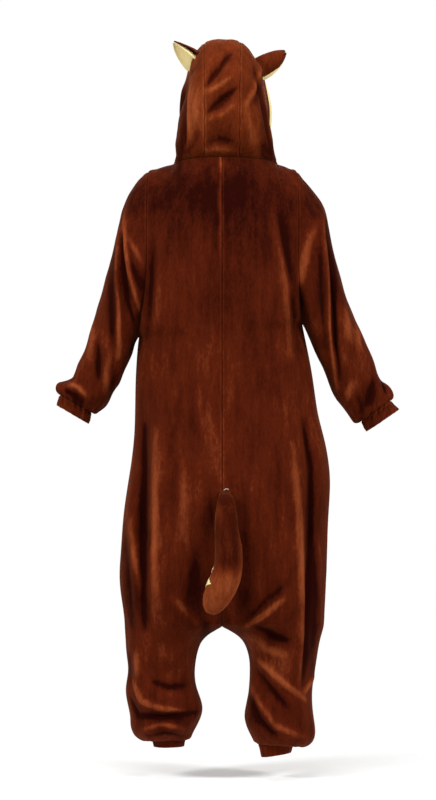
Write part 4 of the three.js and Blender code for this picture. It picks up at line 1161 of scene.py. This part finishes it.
def placket_stitches():
    """A row of top stitches down both edges of the button stand."""
    surface = surface_of(placket)
    tops = [v.co for v in placket.data.vertices]
    low, high = min(p.z for p in tops) / MM, max(p.z for p in tops) / MM
    left, right = max(p.x for p in tops) / MM, min(p.x for p in tops) / MM
    paths = []
    for x in (left - STITCH["from_edge"], right + STITCH["from_edge"]):
        z = high - STITCH["from_end"]
        while z > low + STITCH["from_end"]:
            path = []
            for share in (0, 0.25, 0.75, 1):
                start = Vector((x, -400, z - share * STITCH["length"])) * MM
                place, normal, _, _ = surface.ray_cast(start, Vector((0, 1, 0)))
                if place:
                    lift = STITCH["dip"] if share in (0, 1) else STITCH["lift"]
                    path.append(place + normal * lift * MM)
            if len(path) == 4:
                paths.append(path)
            z -= STITCH["pitch"]
    return cords("placket_stitches", paths, STITCH["radius"] * MM, BROWN_THREAD)


placket_stitches()

# The thread that shows where the tail is sewn on, as (x, z) in mm.
TAIL_THREAD = [
    (-3.4, -744.0), (-5.6, -742.4), (-8.2, -741.2), (-10.8, -740.8), (-13.4, -741.6), (-16.0, -743.6),
]
TAIL_THREAD_RADIUS = 0.6 * MM
TAIL_THREAD_LIFT = 0.5 * MM


def tail_thread():
    surfaces = (surface_of(tail), body_surface)
    path = []
    for x, z in TAIL_THREAD:
        start = Vector((x, 500, z)) * MM
        hits = [surface.ray_cast(start, Vector((0, -1, 0)))[0] for surface in surfaces]
        path.append(max((h for h in hits if h), key=lambda h: h.y) + Vector((0, TAIL_THREAD_LIFT, 0)))
    return cords("tail_thread", [path], TAIL_THREAD_RADIUS, WHITE_THREAD, 8)


tail_thread()


# Studio
AMBIENT = 0.4
AIM = Vector((0, 0, -0.5))
FLOOR = {"radius": 1.2, "fade_from": 0.35, "fade_to": 1.1}
LAMPS = table(("name", "place", "power", "size"), [
    ("left", (3.6, 2.9, 2.0), 175, 1.3),
    ("right", (-3.6, 2.7, 1.6), 150, 1.3),
    ("top", (0.3, 1.8, 3.6), 90, 1.6),
    ("front", (0.0, -4.5, 1.5), 130, 2.4),
])


def studio():
    scene = bpy.context.scene
    scene.view_settings.view_transform = "Standard"
    scene.view_settings.look = "None"
    world = bpy.data.worlds.new("studio")
    world.use_nodes = True
    nodes, links = world.node_tree.nodes, world.node_tree.links
    seen = nodes.new("ShaderNodeLightPath")
    strength = nodes.new("ShaderNodeMapRange")
    set_inputs(strength, {"To Min": AMBIENT, "To Max": 1.0})
    links.new(seen.outputs["Is Camera Ray"], strength.inputs["Value"])
    links.new(strength.outputs["Result"], nodes["Background"].inputs["Strength"])
    set_inputs(nodes["Background"], {"Color": (1.0, 1.0, 1.0, 1)})
    scene.world = world
    bpy.ops.mesh.primitive_circle_add(
        vertices=96, radius=FLOOR["radius"], fill_type="NGON", location=(0, 0, FLOOR_Z)
    )
    floor = bpy.context.active_object
    floor.name = "studio_floor"
    paper = bpy.data.materials.new("paper")
    nodes, links, shader = node_tree(paper)
    set_inputs(shader, {"Base Color": (0.9, 0.9, 0.89, 1), "Roughness": 0.9})
    # the paper fades out round the garment, so that no edge or horizon shows
    place = nodes.new("ShaderNodeTexCoord")
    length = nodes.new("ShaderNodeVectorMath")
    length.operation = "LENGTH"
    fade = nodes.new("ShaderNodeMapRange")
    set_inputs(fade, {"From Min": FLOOR["fade_from"], "From Max": FLOOR["fade_to"]})
    set_inputs(fade, {"To Min": 1.0, "To Max": 0.0})
    links.new(place.outputs["Object"], length.inputs[0])
    links.new(length.outputs["Value"], fade.inputs["Value"])
    links.new(fade.outputs["Result"], shader.inputs["Alpha"])
    floor.data.materials.append(paper)
    for row in LAMPS:
        lamp = bpy.data.lights.new(row["name"], "AREA")
        lamp.energy = row["power"]
        lamp.size = row["size"]
        obj = bpy.data.objects.new(row["name"], lamp)
        bpy.context.collection.objects.link(obj)
        obj.location = row["place"]
        obj.rotation_euler = (AIM - Vector(row["place"])).to_track_quat("-Z", "Y").to_euler()
    camera = bpy.data.cameras.new("camera")
    camera.sensor_fit = "VERTICAL"
    camera.angle = 2 * math.atan(VIEW["height"] * VIEW["mm_per_pixel"] * MM / 2 / VIEW["distance"])
    eye = bpy.data.objects.new("camera", camera)
    bpy.context.collection.objects.link(eye)
    eye.location = (
        (VIEW["zero_u"] - VIEW["width"] / 2) * VIEW["mm_per_pixel"] * MM,
        VIEW["distance"],
        (VIEW["zero_v"] - VIEW["height"] / 2) * VIEW["mm_per_pixel"] * MM,
    )
    eye.rotation_euler = (math.pi / 2, 0, math.pi)
    scene.camera = eye


studio()
